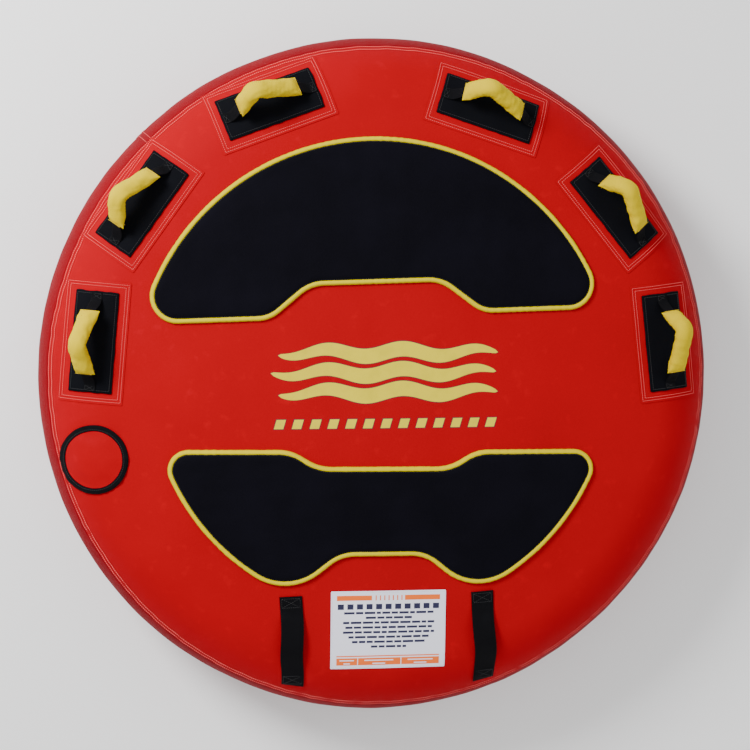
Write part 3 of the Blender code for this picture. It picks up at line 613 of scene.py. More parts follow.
def tube_faces(rows, columns):
    """Rings of points joined into a tube, with both ends closed."""
    ends = [tuple(range(columns))[::-1], tuple(range((rows - 1) * columns, rows * columns))]
    return grid_faces(rows, columns, False, True) + ends


def shell_faces(sheet, rim, count):
    """Both faces of a cloth sheet, its under points count after its top ones, and its rim."""
    joined = [(a, b, b + count, a + count) for a, b in zip(rim, rim[1:] + rim[:1])]
    return flipped(sheet) + shifted(sheet, count) + joined


def grid_uv(across, along):
    return np.stack(np.broadcast_arrays(across, along[:, None]), 2)


def triangulated(outline, holes, spacing, edge):
    """Fine triangles inside an outline: rings near the edge, an even pattern inside."""
    loops = [np.asarray(line, float) for line in (outline, *holes)]
    points, edges = [], []
    for line in loops:
        first, count = len(points), len(line)
        points += line.tolist()
        edges += [(first + i, first + (i + 1) % count) for i in range(count)]
    for depth in edge:
        points += inset(loops[0], depth).tolist()
        for hole in loops[1:]:
            points += inset(hole, -depth).tolist()
    low, high = loops[0].min(0), loops[0].max(0)
    grid = []
    for k, y in enumerate(np.arange(low[1], high[1], spacing * math.sqrt(0.75))):
        xs = np.arange(low[0] + (k % 2) * spacing / 2, high[0], spacing)
        grid.append(np.stack([xs, np.full_like(xs, y)], 1))
    grid = np.concatenate(grid)
    clear = (edge[-1] if len(edge) else 0.0) + spacing * 0.55
    points += grid[is_within(grid, loops) & (distance_to(grid, loops) > clear)].tolist()
    found = geometry.delaunay_2d_cdt([Vector(p) for p in points], edges, [], 0, 1e-7)
    flat = np.array([tuple(v) for v in found[0]])
    faces = np.array(found[2])
    faces = faces[is_within(flat[faces].mean(1), loops)]
    a, b, c = (flat[faces[:, i]] for i in range(3))
    area = (b[:, 0] - a[:, 0]) * (c[:, 1] - a[:, 1]) - (b[:, 1] - a[:, 1]) * (c[:, 0] - a[:, 0])
    faces[area < 0] = faces[area < 0][:, ::-1]
    return flat, faces[np.abs(area) > 1e-12]


def rim_edges(faces):
    """Directed edges that only one triangle has."""
    edges = np.concatenate([faces[:, [0, 1]], faces[:, [1, 2]], faces[:, [2, 0]]])
    key = np.sort(edges, axis=1)
    _, index, count = np.unique(key, axis=0, return_index=True, return_counts=True)
    return edges[index[count == 1]].tolist()


def fabric_mesh(outline, top, base, holes=(), spacing=8 * MM, edge=()):
    """Closed cloth piece on the deck: top and base are lifts, or functions of plan and depth."""
    flat, faces = triangulated(outline, holes, spacing, edge)
    depth = distance_to(flat, [outline, *holes])
    high, low = (lift(flat, depth) if callable(lift) else lift for lift in (top, base))
    count = len(flat)
    shell = faces.tolist() + (faces[:, ::-1] + count).tolist()
    shell += [(b, a, a + count, b + count) for a, b in rim_edges(faces)]
    radius = np.hypot(flat[:, 0], flat[:, 1])
    uv = flat * (arc_length(tilt_at(radius)) / np.maximum(radius, 1e-9))[:, None]
    return np.concatenate([deck(flat, high)[0], deck(flat, low)[0]]), shell, np.tile(uv, (2, 1))


def fabric(name, outline, top, base, finish, holes=(), spacing=8 * MM, edge=(), **more):
    points, faces, uv = fabric_mesh(outline, top, base, holes, spacing, edge)
    return build(name, points, faces, finish, uv, **more)


def print_on(name, outlines, lift, finish, thick=0.2 * MM, spacing=5 * MM, **more):
    """Ink: several flat shapes in one piece."""
    points, faces, uvs = [], [], []
    for outline in outlines:
        line = kept_corners(outline, spacing / 2)
        found, shell, uv = fabric_mesh(line, lift + thick, lift, spacing=spacing)
        faces += shifted(shell, sum(map(len, points)))
        points.append(found)
        uvs.append(uv)
    return build(name, np.concatenate(points), faces, finish, np.concatenate(uvs), **more)


def strip_on_skin(name, azimuths, tilts, low, high, finish, **more):
    """Closed cloth strip anywhere on the tube, from its azimuths and tilts."""
    points = [skin(azimuths, tilts[:, None], lift)[0] for lift in (high, low)]
    rows, columns = len(tilts), len(azimuths)
    count = rows * columns
    rim = list(range(columns)) + [columns * i + columns - 1 for i in range(1, rows)]
    rim += [count - 1 - j for j in range(1, columns)]
    rim += [columns * i for i in range(rows - 2, 0, -1)]
    faces = shell_faces(grid_faces(rows, columns), rim, count)
    uv = grid_uv(azimuths * TUBE_RADIUS, tilts * ROLL)
    return build(name, points, faces, finish, [uv, uv], **more)


def swept(name, centres, ups, sides, section, finish, **more):
    """Sweep a ring of (across, up) points; section is one ring, or one for each centre."""
    section = np.asarray(section, float)
    if section.ndim == 2:
        section = np.broadcast_to(section, (len(centres), *section.shape))
    count, around = section.shape[:2]
    points = centres[:, None] + sides[:, None] * section[:, :, :1] + ups[:, None] * section[:, :, 1:]
    girth = np.stack([lengths(ring) for ring in section])
    uv = grid_uv(girth, lengths(centres))
    return build(name, points, tube_faces(count, around), finish, uv, **more)


def rolled_rim(name, line, pitch, girth, section, lift_at, finish, swell=1.0, **more):
    """Cloth rolled round a closed plan line; section is (across, up) in millimetres."""
    left = left_of(tangents(line, True)) * np.broadcast_to(swell, len(line))[:, None]
    rings = []
    for across, up in section:
        plan = line + left * across * MM
        rings.append(deck(plan, lift_at(plan, across, up * MM))[0])
    faces = grid_faces(len(line), len(section), True, True)
    uv = grid_uv(np.arange(len(section)) * girth, np.arange(len(line)) * pitch)
    return build(name, np.stack(rings, 1), faces, finish, uv, sharp=70, **more)


def cross(first, second):
    found = np.cross(first, second)
    return found / np.linalg.norm(found, axis=-1, keepdims=True)


def tangents(line, closed=False):
    step = np.gradient(line, axis=0)
    if closed:
        step = np.roll(line, -1, axis=0) - np.roll(line, 1, axis=0)
    return step / np.linalg.norm(step, axis=1)[:, None]


def left_of(way):
    return np.stack([-way[:, 1], way[:, 0]], 1)


def flat_section(width, thick, steps=6):
    """Webbing's section: flat faces and rounded edges."""
    half, radius = width / 2 - thick / 2, thick / 2
    right = arc((half, 0.0), radius, -math.pi / 2, math.pi / 2, 4)
    left = arc((-half, 0.0), radius, math.pi / 2, 3 * math.pi / 2, 4)
    between = [half - 2 * half * i / steps for i in range(1, steps)]
    return right + [(x, radius) for x in between] + left + [(-x, -radius) for x in between]


# --- Stitches -----------------------------------------------------------------------------
def deck_row(outline, lift, closed=True):
    """A row of stitches to be, along a plan line."""
    line = resampled(outline, 3 * MM, closed)
    return deck(looped(line) if closed else line, lift)


def box_row(size, place, lift):
    """The same round a rectangle, with its corners kept."""
    return deck(looped(kept_corners(placed(rectangle(*size), place), 3 * MM)), lift)


def box_and_cross(centre, way, side, length, width):
    """Lines of a box stitch with its crossing diagonals."""
    centre, way, side = (np.asarray(a, float) for a in (centre, way, side))
    corners = [centre + way * length / 2 * i + side * width / 2 * j
               for i, j in ((-1, -1), (1, -1), (1, 1), (-1, 1))]
    return [corners + corners[:1], [corners[0], corners[2]], [corners[1], corners[3]]]


def crossed_rows(centre, way, length, width, lift):
    lines = box_and_cross(centre, way, (-way[1], way[0]), length, width)
    return [deck_row(line, lift, closed=False) for line in lines]


def ring_row(tilt, lift=0.0, start=0.0, stop=math.tau):
    steps = max(int((stop - start) * 0.73 / (4 * MM)), 4)
    return skin(np.linspace(start, stop, steps), tilt, lift)


STITCH_STATIONS = np.array([0.0, 0.16, 0.5, 0.84, 1.0])
STITCH_HEIGHTS = np.array([-0.9, 0.5, 0.95, 0.5, -0.9])
STITCH_SIZES = np.array([0.5, 0.95, 1.0, 0.95, 0.5])
STITCH_SIDES = 6


def stitches(name, rows, finish, pitch=PITCH, radius=THREAD, **more):
    """Short humps of thread that dive into the cloth at both ends."""
    around = np.arange(STITCH_SIDES) * math.tau / STITCH_SIDES
    wide, high = np.cos(around)[:, None], np.sin(around)[:, None]
    size = radius * STITCH_SIZES[:, None, None]
    hump_up = radius * STITCH_HEIGHTS[:, None, None]
    points = []
    for line, normal in rows:
        along = lengths(line)
        count = max(int(along[-1] / pitch), 1)
        at = (np.arange(count)[:, None] + 0.06 + 0.84 * STITCH_STATIONS) * along[-1] / count
        spot, up = at_lengths(at, along, line), at_lengths(at, along, normal)
        way = spot[:, -1:] - spot[:, :1]
        side = cross(way, up)
        up = cross(side, way)
        ring = spot[:, :, None] + up[:, :, None] * (hump_up + high * size)
        points.append((ring + side[:, :, None] * wide * size).reshape(-1, 3))
    points = np.concatenate(points)
    one = tube_faces(len(STITCH_STATIONS), STITCH_SIDES)
    each = len(STITCH_STATIONS) * STITCH_SIDES
    faces = [face for start in range(0, len(points), each) for face in shifted(one, start)]
    return build(name, points, faces, finish, sharp=80, **more)


# --- Cover --------------------------------------------------------------------------------
PANEL_COLUMNS = 540
AROUND = np.linspace(0.0, math.tau, PANEL_COLUMNS, endpoint=False)
VALVE_PLACE = (*VALVE, 0.0)
VALVE_HOLE = (0.090, 0.088)
COLLAR = (0.122, 0.119)
COLLAR_ROWS = ((0.098, 0.098 * 0.98), (0.115, 0.115 * 0.98))
BASE_ROWS = (127.7, 131.0)
BAND_JOINT = math.radians(134.5)
BAND_JOINT_WIDTH = 0.026
ON_GROUND = 0.02 * MM


def make_cover_top():
    edge_radius = float(profile(np.array(TOP_EDGE))[0])
    outline = np.array(ellipse(2 * edge_radius, 2 * edge_radius, 900))
    hole = placed(ellipse(*VALVE_HOLE, 72), VALVE_PLACE)

    def top(plan, depth):
        return 0.5 * MM + 0.25 * MM * hump(depth - 1.5 * MM, 2.0 * MM)

    edge = [d * MM for d in (1, 2.2, 3.6, 5.2, 7, 9.2, 12, 16, 21)]
    panel = fabric("cover_top", outline, top, 0.5 * MM - COVER, "red", [hole], 8.5 * MM, edge)
    rows = [ring_row(row, 0.75 * MM) for row in TOP_ROWS]
    seam = stitches("seam_stitches", rows, "thread", radius=0.85 * MM)
    outline = placed(ellipse(*COLLAR, 90), VALVE_PLACE)
    collar = fabric("valve_hole_collar", outline, 1.4 * MM, 0.55 * MM, "red", [hole], 6 * MM,
                    (1.5 * MM,))
    rows = [deck_row(placed(ellipse(*size), VALVE_PLACE), 1.4 * MM) for size in COLLAR_ROWS]
    rings = stitches("collar_stitches", rows, "thread")


def make_side_band():
    """Turned ring with an inner face, its upper edge tucked under the top panel; it takes a darker
    copy of the cover red, painted shade for its steep sides.
    """
    tilts = np.radians(np.concatenate([np.linspace(50.0, 58.0, 9), np.linspace(59.0, 127.6, 56)]))
    lift = -1.3 * MM * np.clip((math.radians(57.5) - tilts) * ROLL / (5 * MM), 0, 1)
    points = [skin(AROUND, tilts[:, None], lift[:, None])[0],
              skin(AROUND, tilts[::-1, None], lift[::-1, None] - COVER)[0]]
    faces = flipped(grid_faces(2 * len(tilts), PANEL_COLUMNS, True, True))
    uv = grid_uv(AROUND * TUBE_RADIUS, arc_length(np.concatenate([tilts, tilts[::-1]])))
    # The band and its joint take the darker red, painted shade for the steep sides.
    band = build("cover_side_band", points, faces, "shaded_red", uv)

    spread = BAND_JOINT_WIDTH / 2 / TUBE_RADIUS
    down = np.radians(np.linspace(55.4, 126.0, 50))
    joint = strip_on_skin("side_band_joint", BAND_JOINT + np.linspace(-spread, spread, 7), down,
                          0.05 * MM, 1.0 * MM, "shaded_red")
    rows = [skin(BAND_JOINT + side * spread / 2, down, 0.95 * MM) for side in (-1, 1)]
    thread = stitches("side_band_joint_stitches", rows, "thread")


def make_cover_bottom():
    """The rolled edge, then flat rings towards the middle, with an inner face."""
    tilts = np.radians(np.concatenate([np.linspace(126.8, 129.5, 6), np.linspace(131, 180, 34)]))
    radii = np.array([0.50, 0.38, 0.26, 0.14, 0.05])
    out = np.stack([np.cos(AROUND), np.sin(AROUND), 0 * AROUND], 1)
    rolled = skin(AROUND, tilts[:, None], 0.45 * MM)[0]
    low = np.concatenate([rolled, out * radii[:, None, None]])
    low[:, :, 2] = np.maximum(low[:, :, 2], ON_GROUND)
    lean = np.concatenate([tilts, np.full(len(radii), math.pi)])[:, None, None]
    high = low - (out * np.sin(lean) + UP * np.cos(lean)) * COVER
    count = len(low) * PANEL_COLUMNS
    sheet = grid_faces(len(low), PANEL_COLUMNS, False, True)
    sheet.append(tuple(range(count - PANEL_COLUMNS, count)))
    faces = shell_faces(sheet, list(range(PANEL_COLUMNS)), count)
    reach = np.concatenate([ROLL_R + ROLL * (math.pi - tilts), radii])
    uv = out[:, :2] * reach[:, None, None]
    panel = build("cover_bottom", [low, high], faces, "red", [uv, uv])
    rows = [ring_row(math.radians(row), 0.7 * MM) for row in BASE_ROWS]
    thread = stitches("base_seam_stitches", rows, "thread")


# --- Body pads ----------------------------------------------------------------------------
PADS = (
    ("front_pad", front_pad_outline, (-0.022, 0.0, math.radians(1.8)), 11),
    ("rear_pad", rear_pad_outline, (-0.008, 0.0, math.radians(-0.7)), 12),
)
PIPING_WIDTH = 10.5 * MM
PIPING_SECTION = (
    (-5.2, 0.7), (-5.5, 2.4), (-5.1, 5.2), (-4.0, 8.0), (-2.2, 9.9), (0.0, 10.6),
    (2.2, 10.2), (4.0, 8.8), (4.9, 6.6), (5.1, 3.4), (4.9, 0.7),
)


def make_body_pads():
    edge = [d * MM for d in (0.8, 2, 3.8, 6, 9, 13, 18, 24)]
    for name, outline, place, seed in PADS:
        rim = resampled(placed(outline(), place), 5 * MM)
        core = inset(rim, PIPING_WIDTH - 1.0 * MM)

        def top(plan, depth, seed=seed):
            shoulder = 1.0 - (1.0 - np.clip(depth / (13 * MM), 0, 1)) ** 2
            crown = 1.0 - np.exp(-depth / 0.09)
            uneven = 0.35 * MM * waves(plan, 0.05, seed) + 0.15 * MM * waves(plan, 0.018, seed + 9)
            return (6.6 + 4.6 * shoulder + 1.6 * crown) * MM + uneven * shoulder

        fabric(name, core, top, GAP + 0.6 * MM, "neoprene", edge=edge)
        make_piping(name, rim, seed)


def make_piping(name, rim, seed):
    """Fabric rolled over a cord round the pad's edge."""
    pitch = 3.5 * MM
    line = resampled(inset(rim, PIPING_WIDTH / 2), pitch)
    length = np.arange(len(line))[:, None] * pitch
    puff = 1.0 + 0.035 * waves(length, 0.012, seed + 3) + 0.03 * waves(length, 0.05, seed + 4)
    rolled_rim(name + "_piping", line, pitch, 2.6 * MM, PIPING_SECTION,
               lambda plan, across, up: up * (0.5 + 0.5 * puff), "piping", swell=puff)
    row = deck_row(inset(rim, PIPING_WIDTH + 0.9 * MM), 7.6 * MM)
    stitches(name + "_edge_stitches", [row], "black_thread", slot="black_neoprene")


# --- Handles ------------------------------------------------------------------------------
PATCH_SIZE = (0.262, 0.138)
PATCH_ROWS = ((0.251, 0.129), (0.239, 0.117))
KNUCKLE_SIZE = (0.216, 0.090)
KNUCKLE_ROW = (0.205, 0.079)
GRIP_APEX = 0.0735
GRIP_END = (0.0665, 0.0230)
GRIP_PITCH = 2.2 * MM
GRIP_SIDES = 40
GRIP_HALF_WIDTHS = (22.6 * MM, 19.0 * MM)
GRIP_HALF_DEPTHS = (1.5 * MM, 16.3 * MM)
GRIP_ROUND = 18 * MM
ELBOW_RADIUS = 16 * MM
WEBBING_SIZE = (24 * MM, 1.9 * MM)
WEBBING_BOX = (11 * MM, 18 * MM)
WEBBING_BOX_REACH = 0.0972
WEBBING_TAB = (0.1035, 0.1000, 0.0960, 0.0925, 0.0895)
WEBBING_LEG = ((0.0855, 0.0012), (0.0820, 0.0042), (0.0770, 0.0100), (0.0715, 0.0167),
               (0.0660, 0.0235), (0.0560, 0.0312))
WEBBING_TOP = 0.0690


class Handle:
    """One handle's place on the deck, and the directions of its leaning plane."""

    def __init__(self, name, azimuth, radius, turn, shift, lean):
        self.name, self.shift, self.body = name, shift, "handle_" + name
        angle = math.radians(azimuth)
        chord = math.radians(turn) - angle
        lean = math.radians(lean)
        self.plan = np.array([radius * math.sin(angle), radius * math.cos(angle)])
        self.place = (*self.plan, chord)
        self.way = np.array([math.cos(chord), math.sin(chord)])
        self.along = np.array([*self.way, 0.0])
        outward = np.array([-self.way[1], self.way[0], 0.0])
        outward *= np.sign(outward[:2] @ self.plan)
        self.up = outward * math.sin(lean) + UP * math.cos(lean)
        self.across = np.cross(self.up, self.along)
        tilt = float(tilt_at(math.hypot(*self.plan)))
        self.centre, self.normal = plain_skin(self.plan, tilt, HINGE_LIFT)

    def in_plane(self, line):
        """Points of the handle's plane, from (along, up) ones."""
        line = np.asarray(line, float)
        return self.centre + line[..., :1] * self.along + line[..., 1:] * self.up


def make_handle_base(handle, seed):
    name, place = handle.name, handle.place
    outline = placed(kept_corners(rectangle(*PATCH_SIZE, 3 * MM), 5 * MM), place)
    patch = fabric("handle_patch_" + name, outline, PATCH_TOP + 0.3 * MM, GAP + 0.3 * MM, "red",
                   spacing=7 * MM, edge=(1 * MM, 2.5 * MM, 5 * MM))
    rows = [box_row(size, place, PATCH_TOP + 0.3 * MM) for size in PATCH_ROWS]
    stitches("patch_stitches_" + name, rows, "thread")

    line = kept_corners(rectangle(*KNUCKLE_SIZE, 2.5 * MM), 4 * MM)
    uneven = 0.5 * MM * waves(line, 0.03, seed) + 0.25 * MM * waves(line, 0.011, seed + 1)
    line = placed(line * (1.0 + uneven / np.linalg.norm(line, axis=1))[:, None], place)

    def top(plan, depth):
        shoulder = np.clip(depth / (5 * MM), 0, 1) ** 0.5
        dimple = 0.6 * MM * hump(depth - 5.5 * MM, 1.4 * MM)
        return PATCH_TOP + (2.6 + 2.9 * shoulder) * MM - dimple + 0.2 * MM * waves(plan, 0.04, seed)

    edge = [d * MM for d in (0.7, 1.8, 3.2, 4.6, 6, 8)]
    pad = fabric("knuckle_pad_" + name, line, top, PATCH_TOP + 0.35 * MM, "knuckle",
                 spacing=5 * MM, edge=edge)
    row = box_row(KNUCKLE_ROW, place, PATCH_TOP + 5.1 * MM)
    stitches("knuckle_stitches_" + name, [row], "black_thread", slot="black_neoprene")


def grip_section(end, angles):
    """Across and up offsets of the sleeve: flat and flared at its two ends."""
    fat = np.sin(np.clip(end / 0.17, 0.0, 1.0) * math.pi / 2) ** 0.8
    flared, middle = GRIP_HALF_WIDTHS
    width = flared + (middle - flared) * np.clip(end / 0.24, 0, 1) ** 0.7
    thin, full = GRIP_HALF_DEPTHS
    depth = thin + (full - thin) * fat
    sharp = 1.0 - 0.55 * (1 - fat)
    across = np.sign(np.cos(angles)) * np.abs(np.cos(angles)) ** sharp[:, None]
    return width[:, None] * across, depth[:, None] * np.sin(angles)


def grip_folds(end, length, apex_at, angles, seed):
    """How far the sleeve's cloth stands off its plain section."""
    around = angles + 0 * length
    facing = np.sin(angles)
    spots = np.stack([length + 0 * around, GRIP_ROUND * np.cos(around),
                      GRIP_ROUND * np.sin(around)], 2).reshape(-1, 3)
    uneven = 0.75 * MM * waves(spots, 0.021, seed) + 0.35 * MM * waves(spots, 0.009, seed + 1)
    loose = np.clip(end / 0.1, 0.15, 1)[:, None]
    near = hump(length - apex_at, 0.030)
    inner = (np.clip(0.45 - facing, 0, 1.45) / 1.45) ** 1.2
    fan = (length - apex_at) / (7.5 * MM) + 0.25 * np.cos(2 * around) + 0.1 * seed
    creases = 4.6 * MM * np.abs(np.sin(math.pi * fan)) ** 0.6 - 3.8 * MM
    hem = 1.3 * MM * np.sin(math.tau * length / (6.3 * MM)) + 0.8 * MM
    stretch = np.clip(facing, 0, 1) * near * 1.3 * MM
    pinch = hump(end[:, None] - 0.10, 0.07) * 0.8 * MM * np.sin(5 * around + seed)
    return (uneven.reshape(around.shape) * loose + inner * near * creases
            + hump(facing + 1.0, 0.12) * loose * hem + stretch + pinch)


def make_grip(handle, seed):
    """Yellow cloth sleeve sewn shut over foam: sharp elbow, creases inside it, flared ends."""
    name, across = handle.name, handle.across
    apex = (handle.shift, GRIP_APEX)
    path = fillet((-GRIP_END[0], GRIP_END[1]), apex, GRIP_END, ELBOW_RADIUS, 12)
    line = resampled([(-GRIP_END[0], GRIP_END[1]), *path, GRIP_END], GRIP_PITCH, closed=False)
    count = len(line)
    share = np.linspace(0.0, 1.0, count)
    end = np.minimum(share, 1.0 - share)
    over = left_of(tangents(line))
    angles = np.arange(GRIP_SIDES) * math.tau / GRIP_SIDES
    wide, deep = grip_section(end, angles)
    length = np.arange(count)[:, None] * GRIP_PITCH
    apex_at = length[np.argmin(np.linalg.norm(line - np.array(apex), axis=1)), 0]
    folds = grip_folds(end, length, apex_at, angles, seed)
    grow = 1.0 + folds / np.maximum(np.hypot(wide, deep), 4 * MM)
    wide, deep = wide * grow, deep * grow
    points = handle.in_plane(line[:, None] + over[:, None] * deep[:, :, None])
    uv = grid_uv(angles * GRIP_ROUND, length[:, 0])
    sleeve = build("handle_sleeve_" + name, points + wide[:, :, None] * across,
                   flipped(tube_faces(count, GRIP_SIDES)), "yellow", uv, handle.body, sharp=60)

    rows = []
    for i in (2, count - 3):
        half = np.abs(wide[i]).max() - 3 * MM
        for side in (1, -1):
            lift = (np.abs(deep[i]).max() + 0.1 * MM) * side
            path = handle.in_plane(line[i] + over[i] * lift)
            path = path + np.linspace(-half, half, 12)[:, None] * across
            normal = (handle.in_plane(over[i]) - handle.centre) * side
            rows.append((path, np.tile(normal, (12, 1))))
    stitches("grip_end_stitches_" + name, rows, "yellow_thread", body=handle.body,
             pitch=3.6 * MM, radius=0.4 * MM)

    core = slice(9, count - 9)
    swept("handle_foam_" + name, handle.in_plane(line[core]),
          handle.in_plane(over[core]) - handle.centre, np.tile(across, (count - 18, 1)),
          np.stack([wide[core], deep[core]], 2) * 0.80, "foam", body=handle.body)


def make_handle_webbing(handle):
    """One strap from tab to tab: sewn flat at both ends, then up and through the sleeve."""
    name, normal, centre = handle.name, handle.normal, handle.centre
    halves = []
    for side in (-1, 1):
        tab = [handle.plan + handle.way * reach * side for reach in WEBBING_TAB]
        leg = [(reach * side, height) for reach, height in WEBBING_LEG]
        slope = [(np.array([handle.shift, WEBBING_TOP]) - leg[-1]) * share + leg[-1]
                 for share in (0.25, 0.5, 0.75)]
        halves.append([*deck(tab, KNUCKLE_TOP + 1.0 * MM)[0], *handle.in_plane(leg + slope)])
    top = handle.in_plane((handle.shift, WEBBING_TOP - 3.0 * MM))
    curve = smooth(halves[0] + [top] + halves[1][::-1], 6)
    curve = resampled(curve, 2.5 * MM, closed=False)
    way = tangents(curve)
    level = cross(normal, way)
    raised = np.clip((curve - centre) @ normal / 0.02, 0, 1)[:, None]
    facing = np.sign(level @ handle.across)[:, None]
    side = level * (1 - raised) + handle.across * raised * facing
    side = side / np.linalg.norm(side, axis=1)[:, None]
    strap = swept("handle_webbing_" + name, curve, cross(way, side), side,
                  flat_section(*WEBBING_SIZE), "webbing", body=None)
    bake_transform(strap)
    rows = []
    for end in (-1, 1):
        rows += crossed_rows(handle.plan + handle.way * WEBBING_BOX_REACH * end, handle.way,
                             *WEBBING_BOX, KNUCKLE_TOP + 2.0 * MM)
    stitches("handle_tab_stitches_" + name, rows, "black_thread", pitch=3.4 * MM,
             radius=0.45 * MM)


def smooth(line, times):
    """Round a line's corners by averaging, its ends kept."""
    line = resampled(line, 2.5 * MM, closed=False)
    for _ in range(times):
        line[1:-1] = (line[:-2] + 2 * line[1:-1] + line[2:]) / 4
    return line


def make_handles():
    for k, facts in enumerate(HANDLES):
        handle = Handle(*facts)
        make_handle_base(handle, 40 + 3 * k)
        make_grip(handle, 70 + 5 * k)
        make_handle_webbing(handle)


# --- Boarding straps and label ------------------------------------------------------------
STRAPS = (
    ("left", (-0.2143, -0.4670), (-0.2080, -0.6720)),
    ("right", (0.2085, -0.4655), (0.2203, -0.6725)),
)
STRAP_WIDTH = 49.5 * MM
STRAP_THICK = 2.0 * MM
STRAP_BOW = 14.0 * MM
STRAP_BOX = (20 * MM, 40 * MM)
STRAP_BOX_REACH = 14.5 * MM
LABEL_PLACE = (0.0, -0.546, math.radians(-0.4))
LABEL_SIZE = (0.254, 0.174)
LABEL_LIFT = GAP + 1.1 * MM
LABEL_LINES = (0.196, 0.100, 0.200, 0.190, 0.200, 0.176, 0.160, 0.076)
LABEL_WORD_GAP = 3.0 * MM
LABEL_HEADING = (0.066, 0.077)
LABEL_TABLE = (-0.079, -0.063)
# White lines on the lowest blocks: height on the label, then (left end, length) of each
LABEL_WHITE_LINES = (
    (-0.0694, ((-0.107, 0.032), (-0.052, 0.064), (0.044, 0.056))),
    (-0.0766, ((-0.098, 0.014), (-0.034, 0.028), (0.058, 0.028))),
)


def make_boarding_straps():
    for seed, (side, start, stop) in enumerate(STRAPS):
        start, stop = np.array(start), np.array(stop)
        share = np.linspace(0.0, 1.0, 70)
        way = (stop - start) / np.linalg.norm(stop - start)
        wander = 2.0 * MM * np.sin(math.tau * (share * 1.15 + 0.35 * seed)) * np.sin(math.pi * share)
        plan = start + (stop - start) * share[:, None] + left_of(way[None]) * wander[:, None]
        free = np.clip((share - 0.14) / 0.72, 0.0, 1.0)
        line, normal = deck(plan, 2.4 * MM + STRAP_BOW * np.sin(math.pi * free) ** 2)
        sides = cross(tangents(line), normal)
        ups = cross(sides, tangents(line))
        roll = 0.035 * np.sin(math.tau * share * 1.5 + 2 * seed)[:, None]
        name = "boarding_strap_" + side
        strap = swept(name, line, ups + sides * roll, sides - ups * roll,
                      flat_section(STRAP_WIDTH, STRAP_THICK, 10), "webbing")
        rows = []
        for end, sign in ((start, 1), (stop, -1)):
            rows += crossed_rows(end + way * sign * STRAP_BOX_REACH, way, *STRAP_BOX, 3.45 * MM)
        thread = stitches(name + "_stitches", rows, "black_thread", radius=0.5 * MM)


def bar(left, right, low, high):
    return [(left, low), (right, low), (right, high), (left, high)]


def on_label(name, shapes, lift, finish):
    return print_on(name, [placed(shape, LABEL_PLACE) for shape in shapes], lift, finish,
                    slot="white_label")


def make_label():
    """Sewn label with plain bars and blocks in place of a heading, small print and a table."""
    outline = placed(kept_corners(rectangle(*LABEL_SIZE, 2 * MM), 6 * MM), LABEL_PLACE)
    label = fabric("information_label", outline, LABEL_LIFT, GAP + 0.5 * MM, "label",
                   spacing=5 * MM, edge=(1.2 * MM, 3 * MM))
    orange = [bar(*ends, *LABEL_HEADING) for ends in ((-0.114, -0.037), (0.036, 0.114))]
    orange += [bar(*ends, *LABEL_TABLE)
               for ends in ((-0.114, -0.068), (-0.066, 0.028), (0.030, 0.114))]
    orange += [bar(-0.114, 0.114, -0.060, -0.0575)]
    orange += [bar(x, x + 2.4 * MM, *LABEL_HEADING) for x in np.arange(-0.029, 0.030, 0.0095)]
    navy = [bar(x, x + 13.5 * MM, 0.046, 0.058) for x in np.linspace(-0.112, 0.0985, 11)]
    chance = np.random.default_rng(4)
    for k, width in enumerate(LABEL_LINES):
        low, x = 0.0355 - 0.0108 * k, -width / 2
        while x < width / 2:
            word = min(chance.uniform(8, 24) * MM, width / 2 - x + 2 * MM)
            navy.append(bar(x, x + word, low, low + 5.0 * MM))
            x += word + LABEL_WORD_GAP
    white = [bar(x, x + width, y, y + 2.4 * MM)
             for y, places in LABEL_WHITE_LINES for x, width in places]
    row = box_row([size - 6 * MM for size in LABEL_SIZE], LABEL_PLACE, LABEL_LIFT)
    on_label("label_orange_bars", orange, LABEL_LIFT, "orange")
    on_label("label_dark_bars", navy, LABEL_LIFT, "navy")
    on_label("label_white_bars", white, LABEL_LIFT + 0.2 * MM, "label")
    stitches("label_stitches", [row], "label", radius=0.4 * MM)


# Height on the deck, left end and right end of each wave stripe
WAVE_STRIPES = ((0.064, -0.240, 0.240), (0.021, -0.256, 0.236), (-0.022, -0.240, 0.240))
STRIPE_WIDTH = 33 * MM
STRIPE_SWELL = 8 * MM
STRIPE_WAVE = 0.165
STRIPE_START = 0.4
BLOCKS = np.arange(-0.250, 0.215, 0.0385)
BLOCK_LOW, BLOCK_HIGH = -0.100, -0.080
BLOCK_WIDTH, BLOCK_SLANT = 20 * MM, 6 * MM


def ribbon(y, left, right, thick):
    """Wavy stripe that runs out to a point at both ends."""
    x = np.linspace(left, right, 90)
    share = (x - left) / (right - left)
    half = thick / 2 * np.sin(math.pi * share) ** 0.45 + 0.2 * MM
    middle = y + STRIPE_SWELL * np.sin(math.tau * x / STRIPE_WAVE + STRIPE_START)
    top, low = (np.stack([x, middle + half * side], 1) for side in (1, -1))
    return np.concatenate([low, top[::-1]])


def block(x, grow):
    low, high = BLOCK_LOW - grow, BLOCK_HIGH + grow
    left, right = x - grow, x + BLOCK_WIDTH + grow
    return [(left, low), (right, low), (right + BLOCK_SLANT, high), (left + BLOCK_SLANT, high)]


def make_deck_print():
    """Plain wave stripes and a row of slanted blocks in the middle of the deck, with a dark edge."""
    for name, finish, grow, lift in (("edge", "navy", 1.3 * MM, 0.52 * MM),
                                     ("print", "yellow_ink", 0.0, 0.64 * MM)):
        shapes = [ribbon(y, left - grow, right + grow, STRIPE_WIDTH + 2 * grow)
                  for y, left, right in WAVE_STRIPES]
        shapes += [block(x, grow) for x in BLOCKS]
        print_on("deck_wave_" + name, shapes, lift, finish, 0.14 * MM, 9 * MM, slot="yellow_fabric")


